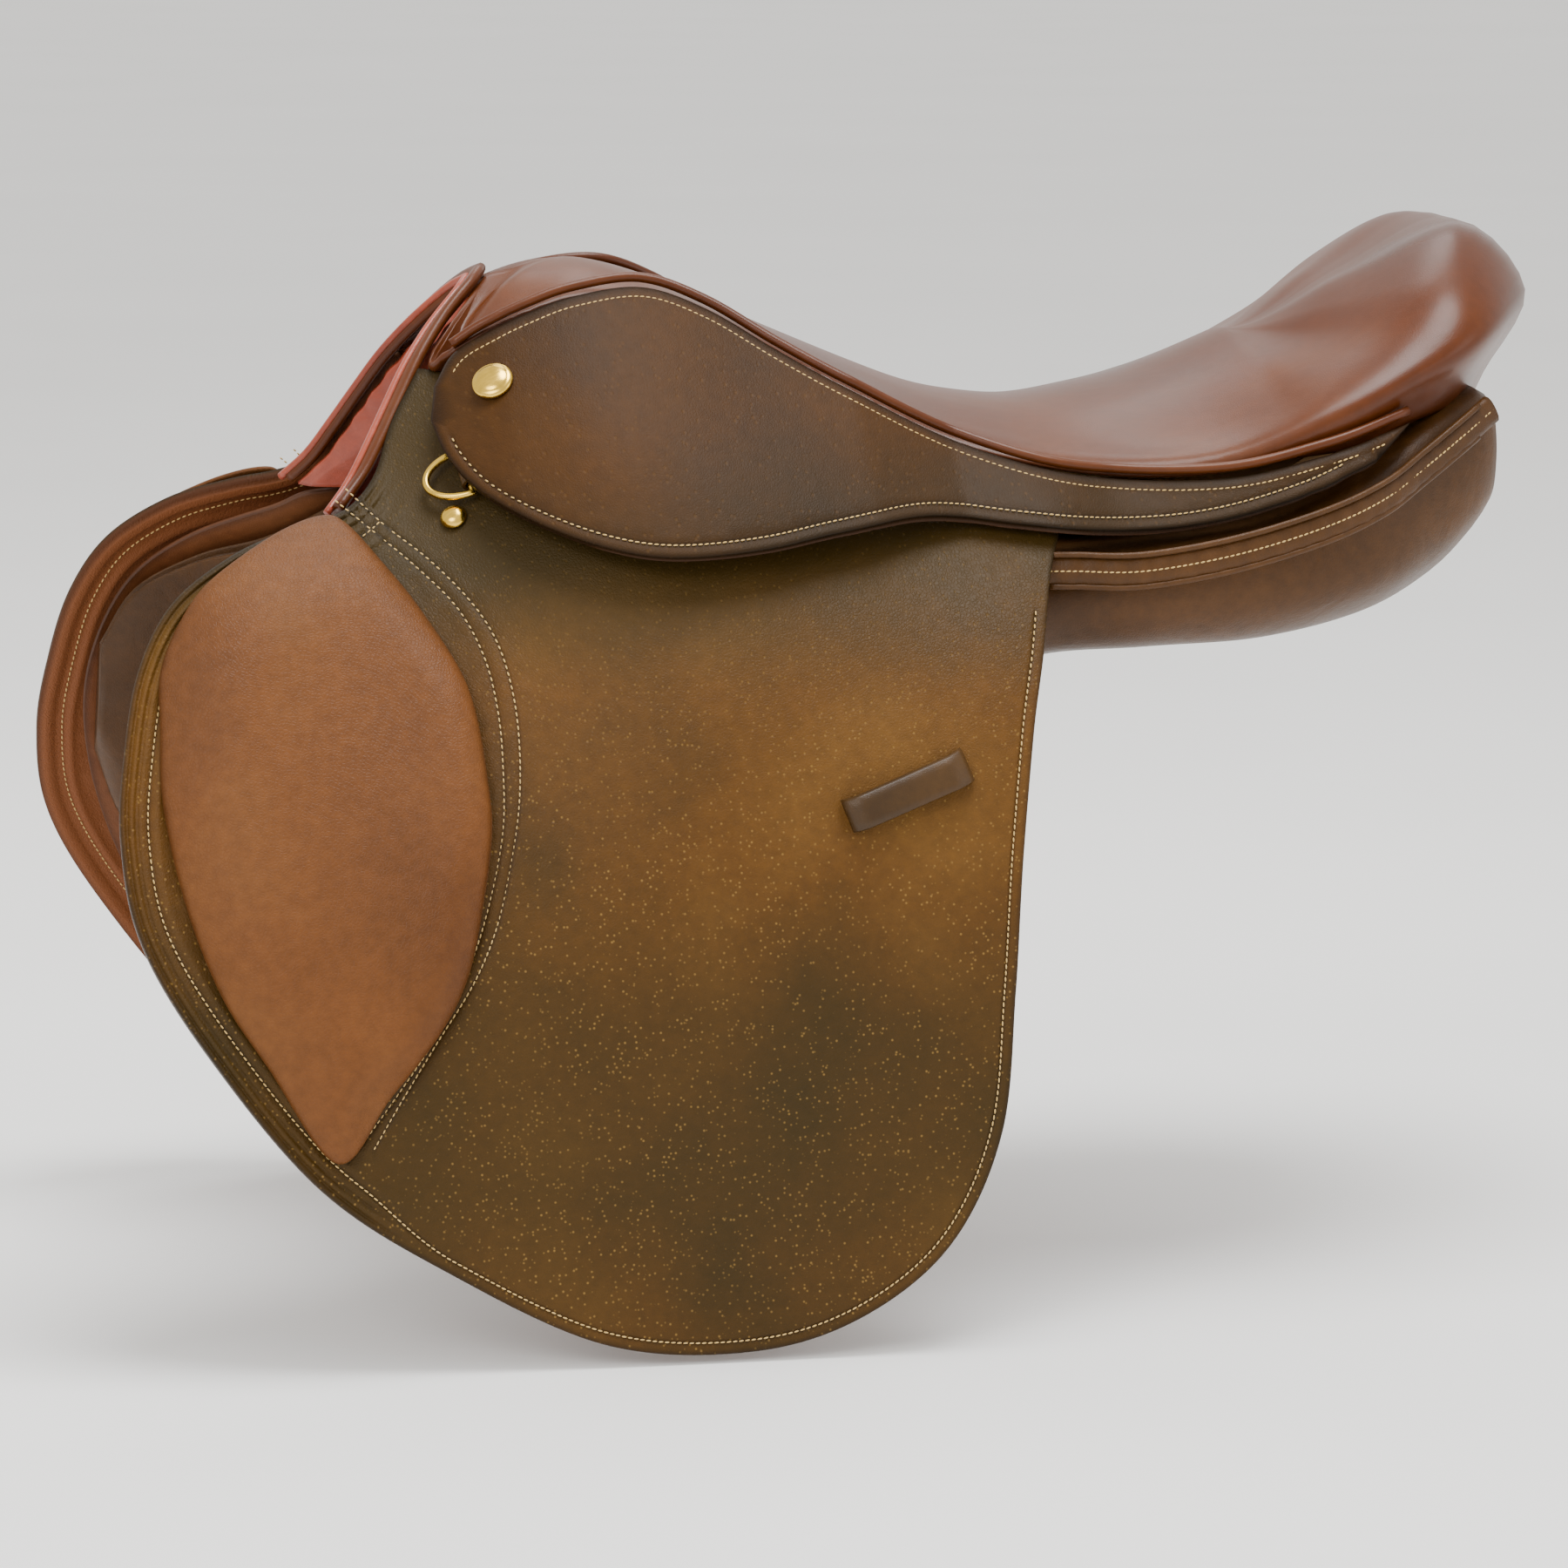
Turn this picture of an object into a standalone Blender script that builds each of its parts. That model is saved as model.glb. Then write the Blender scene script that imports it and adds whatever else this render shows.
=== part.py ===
"""English close-contact saddle: laminated spring tree with its steel head plate, webs, foamed seat,
flocked panels, sweat flaps, flaps, skirts, knee pads, girth straps and brass fittings.
The pommel faces -X, the rider's left is -Y and +Z is up. Z = 0 is where the panels bear under the seat."""

import math

import bmesh
import bpy
import numpy as np
from mathutils import Matrix, Vector
from mathutils.bvhtree import BVHTree
from mathutils.geometry import delaunay_2d_cdt

# Overall sizes, in metres. Pattern points below are cut for the standard sizes and stretch with these.
SADDLE_LENGTH = 0.624
SADDLE_WIDTH = 0.424
SADDLE_HEIGHT = 0.436
STANDARD_SIZES = (624.0, 424.0, 436.0)

# Leather, felt and web thicknesses
FLAP_LEATHER = 0.0040
SKIRT_LEATHER = 0.0038
SWEAT_FLAP_LEATHER = 0.0026
SEAT_LEATHER = 0.0020
LINING_LEATHER = 0.0022
GUARD_LEATHER = 0.0018
GIRTH_STRAP_LEATHER = 0.0036
WEB_THICKNESS = 0.0014
FOAM_THICKNESS = 0.012

# Girth straps
STRAP_WIDTH = 0.026
STRAP_LENGTH = 0.235
STRAP_PITCH = 0.036
STRAP_HOLES = 8
STRAP_HOLE_RADIUS = 0.0026
STRAP_HOLE_PITCH = 0.022
GUARD_LENGTH = 0.115

# Tree and its steel
TREE_THICKNESS = 0.009
TREE_RAIL_WIDTH = 0.028
HEAD_PLATE_THICKNESS = 0.006
HEAD_PLATE_WIDTH = 0.034
BAR_THICKNESS = 0.0042
BAR_HEIGHT = 0.014
BAR_LENGTH = 0.088
STIRRUP_LEATHER_ROOM = 0.0074
CATCH_LENGTH = 0.020
RIVET_RADIUS = 0.0030
RIVET_HEAD_RADIUS = 0.0050

# Brass fittings
NAIL_RADIUS = 0.0086
NAIL_SHANK = 0.0019
NAIL_HEAD_HEIGHT = 0.0042
STUD_RADIUS = 0.0055
STUD_HEIGHT = 0.0030
DEE_WIRE_RADIUS = 0.0015
DEE_HEIGHT = 0.0250
DEE_DEPTH = 0.0205
CHAPE_WIDTH = 0.014
CHAPE_TAIL = 0.008
CHAPE_LEATHER = 0.0013

# Panels and trim
GULLET_HALF_WIDTH = 0.033
PANEL_THICKNESS = 0.027
PANEL_HEM = 0.011
KNEE_PAD_HEIGHT = 0.0135
KNEE_PAD_EDGE = 0.0035
KEEPER_LENGTH = 0.054
KEEPER_WIDTH = 0.017
KEEPER_LEATHER = 0.0032
WELT_RADIUS = 0.0021
GUSSET_HEIGHT = 0.0125
GUSSET_DEPTH = 0.0065
FACING_WIDTH = 0.010
FACING_DEPTH = 0.0055

# Clearances
LAYER_GAP = 0.0010
STACK_GAP = 0.0014
FOLD_GAP = 0.0016
SKIRT_AXIS_RISE = 0.010
SEAT_EDGE_STAND = 0.0170
HOLE_CLEARANCE = 0.0004

# Where the folds and the fittings are, as pattern points (fore-aft, height)
FLAP_FOLD = ((-216.0, 56.0), (90.0, 27.0))
SKIRT_FOLD = ((-166.0, 98.0), (44.0, 79.0))
SKIRT_FOLD_END = (54.0, 40.0)
NAIL_AT = (-137.0, 110.0)
STUD_AT = (-156.0, 57.5)
DEE_AT = (-149.0, 75.0)
BAR_AT = (-117.0, 78.0)
KEEPER_AT = (10.0, -45.0)
KEEPER_TURN = math.radians(20.0)
FIRST_STRAP_AT = -84.0
STRAP_TOP = 22.0

STRETCH = [size / standard for size, standard in
           zip((SADDLE_LENGTH, SADDLE_WIDTH, SADDLE_HEIGHT), STANDARD_SIZES)]

# The saddle's side form: (fore-aft, height, half width) of the flap's inner face
SIDE_FORM = [
    (-124, 149, 10), (-160, 115, 32), (-183, 73, 61), (-206, 57, 81), (-248, 45, 99), (-286, -2, 124),
    (-298, -49, 147), (-272, -138, 185), (-215, -195, 197), (-140, -248, 203), (-52, -264, 205),
    (30, -210, 204), (54, -100, 193), (66, -10, 168), (85, 46, 124), (-100, 126, 46), (-100, 70, 108),
    (-100, 0, 156), (-100, -100, 192), (-190, -20, 139), (-30, 118, 48), (-10, 60, 110), (50, 80, 80),
    (50, 52, 112), (110, 56, 104), (158, 57, 112), (155, 42, 124), (212, 72, 114), (243, 82, 106), (205, 54, 124),
]

FLAP_OUTLINE = [
    (-161, 112), (-174, 92), (-183, 73), (-194, 62), (-205, 57.5), (-221, 54), (-247, 45),
    (-272, 28), (-287, 4), (-295, -26), (-299, -60), (-293, -99), (-268, -143), (-227, -194), (-178, -228),
    (-117, -259), (-60, -265), (-15, -254), (23, -226), (45, -182), (52, -125), (57, -70), (64, -25), (72, 5),
    (80, 33), (88, 50),
]
FLAP_TOP_EDGE = [(70, 54), (40, 62), (10, 72), (-40, 90), (-90, 103), (-132, 110)]

SKIRT_UPPER = [
    (-158, 107), (-150, 119), (-138, 127), (-121, 135), (-100, 142), (-71, 145), (-45, 136), (-17, 119),
    (10, 104), (55, 82), (105, 69), (158, 68), (200, 77), (238, 89),
]
SKIRT_LOWER = [
    (221, 75), (190, 62), (152, 52), (115, 49), (70, 53), (30, 57), (-7, 53), (-40, 48), (-75, 46), (-100, 49),
    (-125, 57), (-146, 68), (-157, 81), (-161, 94),
]

KNEE_PAD_OUTLINE = [
    (-212, 48), (-235, 44), (-258, 28), (-271, 0), (-277, -39), (-271, -90), (-250, -142), (-221, -184),
    (-196, -156), (-175, -120), (-159, -72), (-155, -30), (-162, 5), (-182, 33), (-200, 46),
]

SWEAT_FLAP_OUTLINE = [
    (-184, 52), (-206, 44), (-240, 30), (-266, 8), (-280, -30), (-278, -72), (-262, -120), (-232, -172),
    (-196, -202), (-140, -226), (-70, -232), (-16, -216), (18, -176), (34, -110), (40, -40), (52, 8), (62, 30),
    (10, 40), (-60, 46), (-120, 50),
]

# The seat's edge, from the middle of the pommel round one side to the middle of the cantle:
# (fore-aft, half width, height, rise to the rim, rim's inset, bulge past the edge)
SEAT_EDGE = [
    (-124, 0, 144, 5, 9, 2), (-135, 16, 135, 5, 9, 2), (-147, 31, 123, 5, 8, 2), (-156, 40.5, 111, 6, 8, 1),
    (-150, 52, 118, 6, 8, -1), (-124, 52, 132, 5, 10, -2), (-92, 47, 141, 5, 10, -3), (-53, 45, 136, 4, 10, -3),
    (-17, 52, 118, 5, 12, -4), (15, 65, 101, 6, 14, -5), (55, 83, 81, 8, 18, -6), (105, 99, 70, 10, 22, -6),
    (158, 110, 70, 13, 22, -3), (205, 115, 83, 21, 20, 1), (240, 108, 97, 25, 18, 5), (266, 93, 103, 40, 14, 11),
    (287, 56, 105, 56, 12, 15), (297, 26, 100, 64, 12, 17), (299, 0, 97, 67, 12, 18),
]
SEAT_RIDGE = [
    (-124, 147), (-105, 151), (-88, 153), (-61, 146), (-24, 130), (23, 110), (52, 99), (75, 94), (100, 92),
    (125, 96), (153, 103), (192, 119), (230, 137),
]

# Panel sections: fore-aft, bottom and top heights outside, gullet top and bottom, share of full thickness
PANEL_FRONT = [
    (-276, -60, -10, 0, 0, 0.42), (-262, -95, 14, 0, 0, 0.55), (-235, -122, 30, 0, 0, 0.72),
    (-205, -135, 41, 0, 0, 0.90), (-172, -132, 62, 0, 0, 1.0), (-140, -118, 82, 0, 0, 1.0),
    (-105, -92, 88, 84, 62, 1.0), (-60, -62, 74, 80, 54, 1.0), (-15, -34, 52, 68, 42, 1.0),
    (30, -12, 32, 54, 32, 1.05),
]
PANEL_REAR = [
    (80, [(92, -6), (114, -2), (125, 12), (122, 28), (108, 36), (60, 42), (33, 43), (32, 32), (38, 21), (66, 8)]),
    (130, [(88, -3), (112, 0), (130, 13), (131, 32), (121, 41), (62, 43), (33, 42), (31, 31), (37, 21), (62, 9)]),
    (180, [(84, -1), (108, 2), (127, 16), (129, 37), (120, 50), (62, 53), (34, 50), (32, 38), (38, 25), (60, 11)]),
    (225, [(80, 8), (100, 11), (119, 26), (121, 52), (112, 72), (62, 75), (36, 68), (34, 52), (40, 35), (58, 19)]),
    (256, [(76, 22), (91, 26), (105, 40), (107, 67), (98, 90), (60, 92), (38, 84), (36, 66), (42, 46), (56, 32)]),
    (276, [(70, 38), (82, 42), (93, 54), (95, 77), (87, 97), (56, 98), (40, 90), (38, 74), (43, 57), (54, 45)]),
    (284, [(68, 48), (77, 51), (85, 60), (87, 77), (80, 91), (58, 92), (47, 87), (44, 76), (48, 64), (56, 54)]),
]

ROOT = bpy.data.collections.new("english_saddle")
CUTTERS = bpy.data.collections.new("cutters")
COLOURS = {
    "flap_leather": (0.20, 0.095, 0.035),
    "seat_leather": (0.26, 0.085, 0.035),
    "soft_leather": (0.30, 0.13, 0.065),
    "lining_leather": (0.33, 0.075, 0.04),
    "strap_leather": (0.16, 0.07, 0.03),
    "brass": (0.80, 0.55, 0.17),
    "steel": (0.55, 0.56, 0.58),
    "beech": (0.62, 0.45, 0.28),
    "web": (0.72, 0.66, 0.52),
    "foam": (0.78, 0.74, 0.60),
}


def clear_scene():
    for obj in list(bpy.data.objects):
        bpy.data.objects.remove(obj, do_unlink=True)
    bpy.context.scene.collection.children.link(ROOT)
    bpy.context.scene.collection.children.link(CUTTERS)
    CUTTERS.hide_render = True


def material_of(slot):
    if slot in bpy.data.materials:
        return bpy.data.materials[slot]
    material = bpy.data.materials.new(slot)
    material.use_nodes = True
    shader = material.node_tree.nodes["Principled BSDF"]
    shader.inputs["Base Color"].default_value = (*COLOURS[slot], 1.0)
    shader.inputs["Metallic"].default_value = 1.0 if slot in ("brass", "steel") else 0.0
    shader.inputs["Roughness"].default_value = 0.3 if slot in ("brass", "steel") else 0.55
    return material


# Numbers and curves


def stretched(x, y, z):
    return Vector((x * STRETCH[0], y * STRETCH[1], z * STRETCH[2]))


def smooth_through(points, step, closed=False):
    """A Catmull-Rom curve through the points, cut into pieces of about the step."""
    points = [np.array(point, float) for point in points]
    count = len(points)
    curve = []
    for i in range(count if closed else count - 1):
        if closed:
            a, b, c, d = (points[(i + k) % count] for k in (-1, 0, 1, 2))
        else:
            b, c = points[i], points[i + 1]
            a = points[i - 1] if i else 2 * b - c
            d = points[i + 2] if i + 2 < count else 2 * c - b
        pieces = max(1, round(float(np.linalg.norm(c - b)) / step))
        for k in range(pieces):
            t = k / pieces
            curve.append(0.5 * (2 * b + (c - a) * t + (2 * a - 5 * b + 4 * c - d) * t**2
                                + (3 * b - a - 3 * c + d) * t**3))
    if not closed:
        curve.append(points[-1])
    return np.array(curve)


def thin_plate(points):
    """The smooth sheet z(x, y) of least bending through the points."""
    points = np.array(points, float)
    flat = points[:, :2] / 100.0
    count = len(points)

    def bend(distance):
        return np.where(distance > 1e-9, distance**2 * np.log(np.maximum(distance, 1e-9)), 0.0)

    reach = np.linalg.norm(flat[:, None] - flat[None], axis=2)
    system = np.zeros((count + 3, count + 3))
    system[:count, :count] = bend(reach) + 0.004 * np.eye(count)
    system[:count, count] = 1.0
    system[:count, count + 1:] = flat
    system[count:, :count] = system[:count, count:].T
    weights = np.linalg.solve(system, np.concatenate([points[:, 2], np.zeros(3)]))

    def value(x, y):
        at = np.array((x, y)) / 100.0
        distance = np.linalg.norm(flat - at, axis=1)
        return float(bend(distance) @ weights[:count] + weights[count] + weights[count + 1:] @ at)

    return value


half_width = thin_plate(SIDE_FORM)


def side_point(x, z, off):
    """The point that stands off the left side form by off, at pattern point (x, z), and the form's normal."""
    width = half_width(x, z)
    slope_x = (half_width(x + 1, z) - half_width(x - 1, z)) / 2 * STRETCH[1] / STRETCH[0]
    slope_z = (half_width(x, z + 1) - half_width(x, z - 1)) / 2 * STRETCH[1] / STRETCH[2]
    normal = Vector((-slope_x, -1.0, -slope_z)).normalized()
    return stretched(x, -width, z) + normal * off, normal


def pattern_point(x, z, off):
    """The pattern point whose stood-off point is seen at (x, z) from the side."""
    guess = [x, z]
    for _ in range(24):
        seen = side_point(guess[0], guess[1], off)[0]
        miss = (x - seen.x / STRETCH[0], z - seen.z / STRETCH[2])
        guess = [guess[0] + 0.7 * miss[0], guess[1] + 0.7 * miss[1]]
        if abs(miss[0]) + abs(miss[1]) < 0.004:
            break
    return guess


def laid(x, z, off):
    """The stood-off point and normal seen at (x, z) from the side."""
    return side_point(*pattern_point(x, z, off), off)


def bar_stack_height():
    return FLAP_LEATHER + STIRRUP_LEATHER_ROOM + BAR_THICKNESS + STACK_GAP


def skirt_stand_off(x):
    """The skirt stands further off the flap where the stirrup bar lies."""
    bump = max(0.0, 1.0 - ((x + 62.0) / 112.0) ** 2)
    bar_stack = bar_stack_height()
    close = FLAP_LEATHER + 2 * DEE_WIRE_RADIUS + STACK_GAP
    return close + (bar_stack - close) * min(1.0, 1.7 * bump)


# Meshes


def finish(name, mesh, slot, smooth=True, pivot=None):
    pivot = Vector(pivot) if pivot is not None else Vector()
    mesh.transform(Matrix.Translation(-pivot))
    mesh.materials.clear()
    mesh.materials.append(material_of(slot))
    for face in mesh.polygons:
        face.use_smooth = smooth
    obj = bpy.data.objects.new(name, mesh)
    obj.location = pivot
    ROOT.objects.link(obj)
    return obj


def mesh_from(bm, name):
    bmesh.ops.recalc_face_normals(bm, faces=bm.faces)
    if bm.calc_volume(signed=True) < 0:
        bmesh.ops.reverse_faces(bm, faces=bm.faces)
    mesh = bpy.data.meshes.new(name)
    bm.to_mesh(mesh)
    bm.free()
    return mesh


def other_side(obj, name):
    """The same piece for the right side."""
    mesh = obj.data.copy()
    mesh.transform(Matrix.Diagonal((1, -1, 1, 1)))
    mesh.flip_normals()
    twin = bpy.data.objects.new(name, mesh)
    twin.location = (obj.location.x, -obj.location.y, obj.location.z)
    ROOT.objects.link(twin)
    for modifier in obj.modifiers:
        copy = twin.modifiers.new(modifier.name, modifier.type)
        copy.operation = modifier.operation
        copy.solver = modifier.solver
        cutter = modifier.object.copy()
        cutter.data = modifier.object.data.copy()
        cutter.data.transform(Matrix.Diagonal((1, -1, 1, 1)))
        cutter.data.flip_normals()
        cutter.name = modifier.object.name + "_right"
        CUTTERS.objects.link(cutter)
        copy.object = cutter
    return twin


def both_sides(maker, stem):
    left = maker(stem + "_left")
    return left, other_side(left, stem + "_right")


def inside(point, outline):
    x, y = point
    crossings = 0
    for (ax, ay), (bx, by) in zip(outline, np.roll(outline, -1, axis=0)):
        if (ay > y) != (by > y) and x < (bx - ax) * (y - ay) / (by - ay) + ax:
            crossings += 1
    return crossings % 2 == 1


def edge_distance(point, outline):
    a = np.array(outline)
    b = np.roll(a, -1, axis=0)
    along = b - a
    share = np.clip(((point - a) * along).sum(1) / np.maximum((along**2).sum(1), 1e-9), 0, 1)
    return float(np.linalg.norm(a + along * share[:, None] - point, axis=1).min())


def line_reach(point, line, below):
    """How far a pattern point lies on the wanted side of a straight line."""
    (ax, az), (bx, bz) = line
    across = np.array((-(bz - az), bx - ax))
    return float((np.array(point) - (ax, az)) @ across / np.linalg.norm(across)) * (-1 if below else 1)


def cut_along(outline, line, below):
    """The part of an outline on one side of a straight line through two pattern points."""
    kept = []
    for a, b in zip(outline, np.roll(outline, -1, axis=0)):
        ra, rb = line_reach(a, line, below), line_reach(b, line, below)
        if ra >= 0:
            kept.append(tuple(a))
        if (ra >= 0) != (rb >= 0):
            kept.append(tuple(a + (b - a) * ra / (ra - rb)))
    return np.array(kept)


def with_steps(outline, step):
    """The outline with its long straight runs cut into steps."""
    spots = []
    for a, b in zip(outline, np.roll(outline, -1, axis=0)):
        pieces = max(1, math.ceil(float(np.linalg.norm(b - a)) / step))
        spots += [a + (b - a) * k / pieces for k in range(pieces)]
    return np.array(spots)


def draped(outline, cell, inner, outer):
    """A sheet laid on the left side form, between two stand-offs, functions of (x, z, distance to edge)."""
    outline = with_steps(np.array(outline, float), cell * 1.05)
    spots = [tuple(point) for point in outline]
    low, high = outline.min(0), outline.max(0)
    row = 0
    z = low[1] + cell / 2
    while z < high[1]:
        x = low[0] + cell / 2 + (row % 2) * cell / 2
        while x < high[0]:
            if inside((x, z), outline) and edge_distance(np.array((x, z)), outline) > cell * 0.45:
                spots.append((x, z))
            x += cell
        z += cell * 0.87
        row += 1
    edges = [(i, (i + 1) % len(outline)) for i in range(len(outline))]
    points, _, faces, *_ = delaunay_2d_cdt([Vector(spot) for spot in spots], edges, [], 1, 1e-4)
    bm = bmesh.new()
    where = bm.verts.layers.float_vector.new("where")
    verts = []
    for point in points:
        rim = edge_distance(np.array(point), outline)
        top = outer(point[0], point[1], rim)
        spot = pattern_point(point[0], point[1], top)
        vert = bm.verts.new(side_point(*spot, inner(point[0], point[1], rim))[0])
        vert[where] = (spot[0], spot[1], top)
        verts.append(vert)
    sheet = [bm.faces.new([verts[i] for i in face]) for face in faces]
    grown = bmesh.ops.extrude_face_region(bm, geom=sheet, use_keep_orig=True)
    for vert in (item for item in grown["geom"] if isinstance(item, bmesh.types.BMVert)):
        vert.co = side_point(*vert[where])[0]
    return bm


def flat_stand(value):
    return lambda x, z, rim: value


def loft(rings, closed_ends=True, closed_loop=False):
    """A skin over rings of matching points."""
    bm = bmesh.new()
    rows = [[bm.verts.new(point) for point in ring] for ring in rings]
    count = len(rows[0])
    pairs = list(zip(rows, rows[1:] + rows[:1] if closed_loop else rows[1:]))
    for a, b in pairs:
        for i in range(count):
            j = (i + 1) % count
            bm.faces.new((a[i], a[j], b[j], b[i]))
    if closed_ends and not closed_loop:
        bm.faces.new(rows[0])
        bm.faces.new(list(reversed(rows[-1])))
    bmesh.ops.triangulate(bm, faces=bm.faces)
    return bm


def swept(path, across, width, depth, corners=8):
    """A strip with rounded edges along a path. Across gives each point's direction of width."""
    rings = []
    path = [Vector(point) for point in path]
    for i, point in enumerate(path):
        ahead = (path[min(i + 1, len(path) - 1)] - path[max(i - 1, 0)]).normalized()
        wide = Vector(across[i])
        wide = (wide - ahead * wide.dot(ahead)).normalized()
        deep = ahead.cross(wide)
        ring = []
        for k in range(corners):
            turn = math.tau * (k + 0.5) / corners
            c, s = math.cos(turn), math.sin(turn)
            reach = (abs(c) ** 2.6 + abs(s) ** 2.6) ** (-1 / 2.6)
            ring.append(point + wide * (c * reach * width / 2) + deep * (s * reach * depth / 2))
        rings.append(ring)
    return loft(rings)


def bore(obj, name, point, axis, radius, length, sides=12):
    """Cuts a round hole through a piece."""
    bm = bmesh.new()
    bmesh.ops.create_cone(bm, cap_ends=True, segments=sides, radius1=radius, radius2=radius, depth=length)
    turn = Vector((0, 0, 1)).rotation_difference(Vector(axis)).to_matrix().to_4x4()
    bmesh.ops.transform(bm, matrix=Matrix.Translation(point) @ turn, verts=bm.verts)
    cutter = bpy.data.objects.new(name, mesh_from(bm, name))
    cutter.hide_render = True
    cutter.display_type = "WIRE"
    CUTTERS.objects.link(cutter)
    cut = obj.modifiers.new(name, "BOOLEAN")
    cut.operation = "DIFFERENCE"
    cut.solver = "EXACT"
    cut.object = cutter


def turned(profile, point, axis, sides=16):
    """A round piece: (radius, height) pairs spun about the axis, with the first and last on it."""
    turn = Vector((0, 0, 1)).rotation_difference(Vector(axis)).to_matrix()
    bm = bmesh.new()
    verts = [bm.verts.new((radius, 0, height)) for radius, height in profile]
    for a, b in zip(verts, verts[1:]):
        bm.edges.new((a, b))
    bmesh.ops.spin(bm, geom=bm.verts[:] + bm.edges[:], cent=(0, 0, 0), axis=(0, 0, 1), angle=math.tau,
                   steps=sides, use_merge=True)
    bmesh.ops.remove_doubles(bm, verts=bm.verts, dist=1e-6)
    bmesh.ops.transform(bm, matrix=Matrix.Translation(point) @ turn.to_4x4(), verts=bm.verts)
    return bm


# Seat


def ridge_height(x):
    xs, zs = zip(*SEAT_RIDGE)
    return float(np.interp(x, xs, zs))


def seat_rib(row, reach):
    """Points across the seat from its ridge to its edge, over the rim. Reach drops the last points."""
    x, y, z, rise, inset, bulge = row
    ridge_x = min(max(x, -96.0), 190.0)
    ridge = np.array((ridge_x, 0.0, ridge_height(ridge_x)))
    out = np.array((x - ridge_x, y))
    out = out / max(float(np.linalg.norm(out)), 1e-6)
    rim = np.array((x - out[0] * inset, y - out[1] * inset, z + rise))
    far = np.array((x + out[0] * bulge, y + out[1] * bulge, z + rise * 0.55))
    hollow = 0.25 + 0.27 * min(1.0, max(0.0, (x - 150.0) / 100.0))
    middle = ridge + (rim - ridge) * 0.5
    middle[2] = ridge[2] + (rim[2] - ridge[2]) * hollow
    controls = [ridge, middle, rim, far, np.array((x, y, z))][:reach]
    rib = []
    for i in range(len(controls) - 1):
        cuts = (0, 0.5) if i < 2 else (0, 0.55)
        b, c = controls[i], controls[i + 1]
        a = controls[i - 1] if i else np.array((2 * b[0] - c[0], 2 * b[1] - c[1], c[2]))
        d = controls[i + 2] if i + 2 < len(controls) else 2 * c - b
        for t in cuts:
            rib.append(0.5 * (2 * b + (c - a) * t + (2 * a - 5 * b + 4 * c - d) * t**2
                              + (3 * b - a - 3 * c + d) * t**3))
    rib.append(controls[-1])
    return rib


def seat_surface(reach=5, sink=0.0):
    """The seat's upper surface as an open mesh, with its normals upward, sunk along them."""
    half = smooth_through(SEAT_EDGE, 30.0)
    loop = [tuple(row) for row in half] + [(x, -y, *rest) for x, y, *rest in half[-2:0:-1]]
    bm = bmesh.new()
    ribs = []
    for x, y, *rest in loop:
        rib = seat_rib((x, abs(y), *rest), reach)
        ribs.append([bm.verts.new(stretched(px, py if y >= 0 else -py, pz)) for px, py, pz in rib])
    for a, b in zip(ribs, ribs[1:] + ribs[:1]):
        for i in range(len(a) - 1):
            bm.faces.new((a[i], a[i + 1], b[i + 1], b[i]))
    bmesh.ops.remove_doubles(bm, verts=bm.verts, dist=2e-5)
    bmesh.ops.dissolve_degenerate(bm, edges=bm.edges, dist=1e-5)
    bmesh.ops.recalc_face_normals(bm, faces=bm.faces)
    bm.normal_update()
    if sum(face.normal.z * face.calc_area() for face in bm.faces) < 0:
        bmesh.ops.reverse_faces(bm, faces=bm.faces)
        bm.normal_update()
    moved = [(vert, vert.co - vert.normal * sink) for vert in bm.verts]
    for vert, spot in moved:
        vert.co = spot
    return bm


def thickened(bm, name, slot, thickness):
    """An open sheet given its thickness on the side its normals leave."""
    mesh = bpy.data.meshes.new(name)
    bm.to_mesh(mesh)
    bm.free()
    obj = finish(name, mesh, slot)
    skin = obj.modifiers.new("thickness", "SOLIDIFY")
    skin.thickness = thickness
    skin.offset = -1.0
    skin.use_even_offset = False
    return obj


def seat_finder():
    """The seat's height over a pattern point, and how level it is there."""
    bm = seat_surface()
    bmesh.ops.triangulate(bm, faces=bm.faces)
    tree = BVHTree.FromBMesh(bm)
    bm.free()

    def height(x, y):
        hit, normal, *_ = tree.ray_cast(Vector((x * STRETCH[0], y * STRETCH[1], 1.0)), Vector((0, 0, -1)))
        return hit.z, abs(normal.z)

    return height


def seat_piece():
    thickened(seat_surface(), "seat_cover", "seat_leather", SEAT_LEATHER)
    thickened(seat_surface(3, SEAT_LEATHER + STACK_GAP + 0.0006), "seat_foam", "foam", FOAM_THICKNESS)


# Tree, webs and steel

TREE_LINE = [
    (-104, 0, 1.0), (-101, 9, 1.0), (-90, 17, 0.95), (-55, 26, 0.9), (-10, 36, 1.0), (40, 52, 1.1),
    (90, 64, 1.1), (140, 73, 1.0), (190, 79, 1.1), (228, 74, 1.15), (250, 52, 1.15), (262, 26, 1.15),
    (266, 0, 1.15),
]


def tree_drop():
    return SEAT_LEATHER + FOAM_THICKNESS + 2 * WEB_THICKNESS + 5 * STACK_GAP


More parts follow.
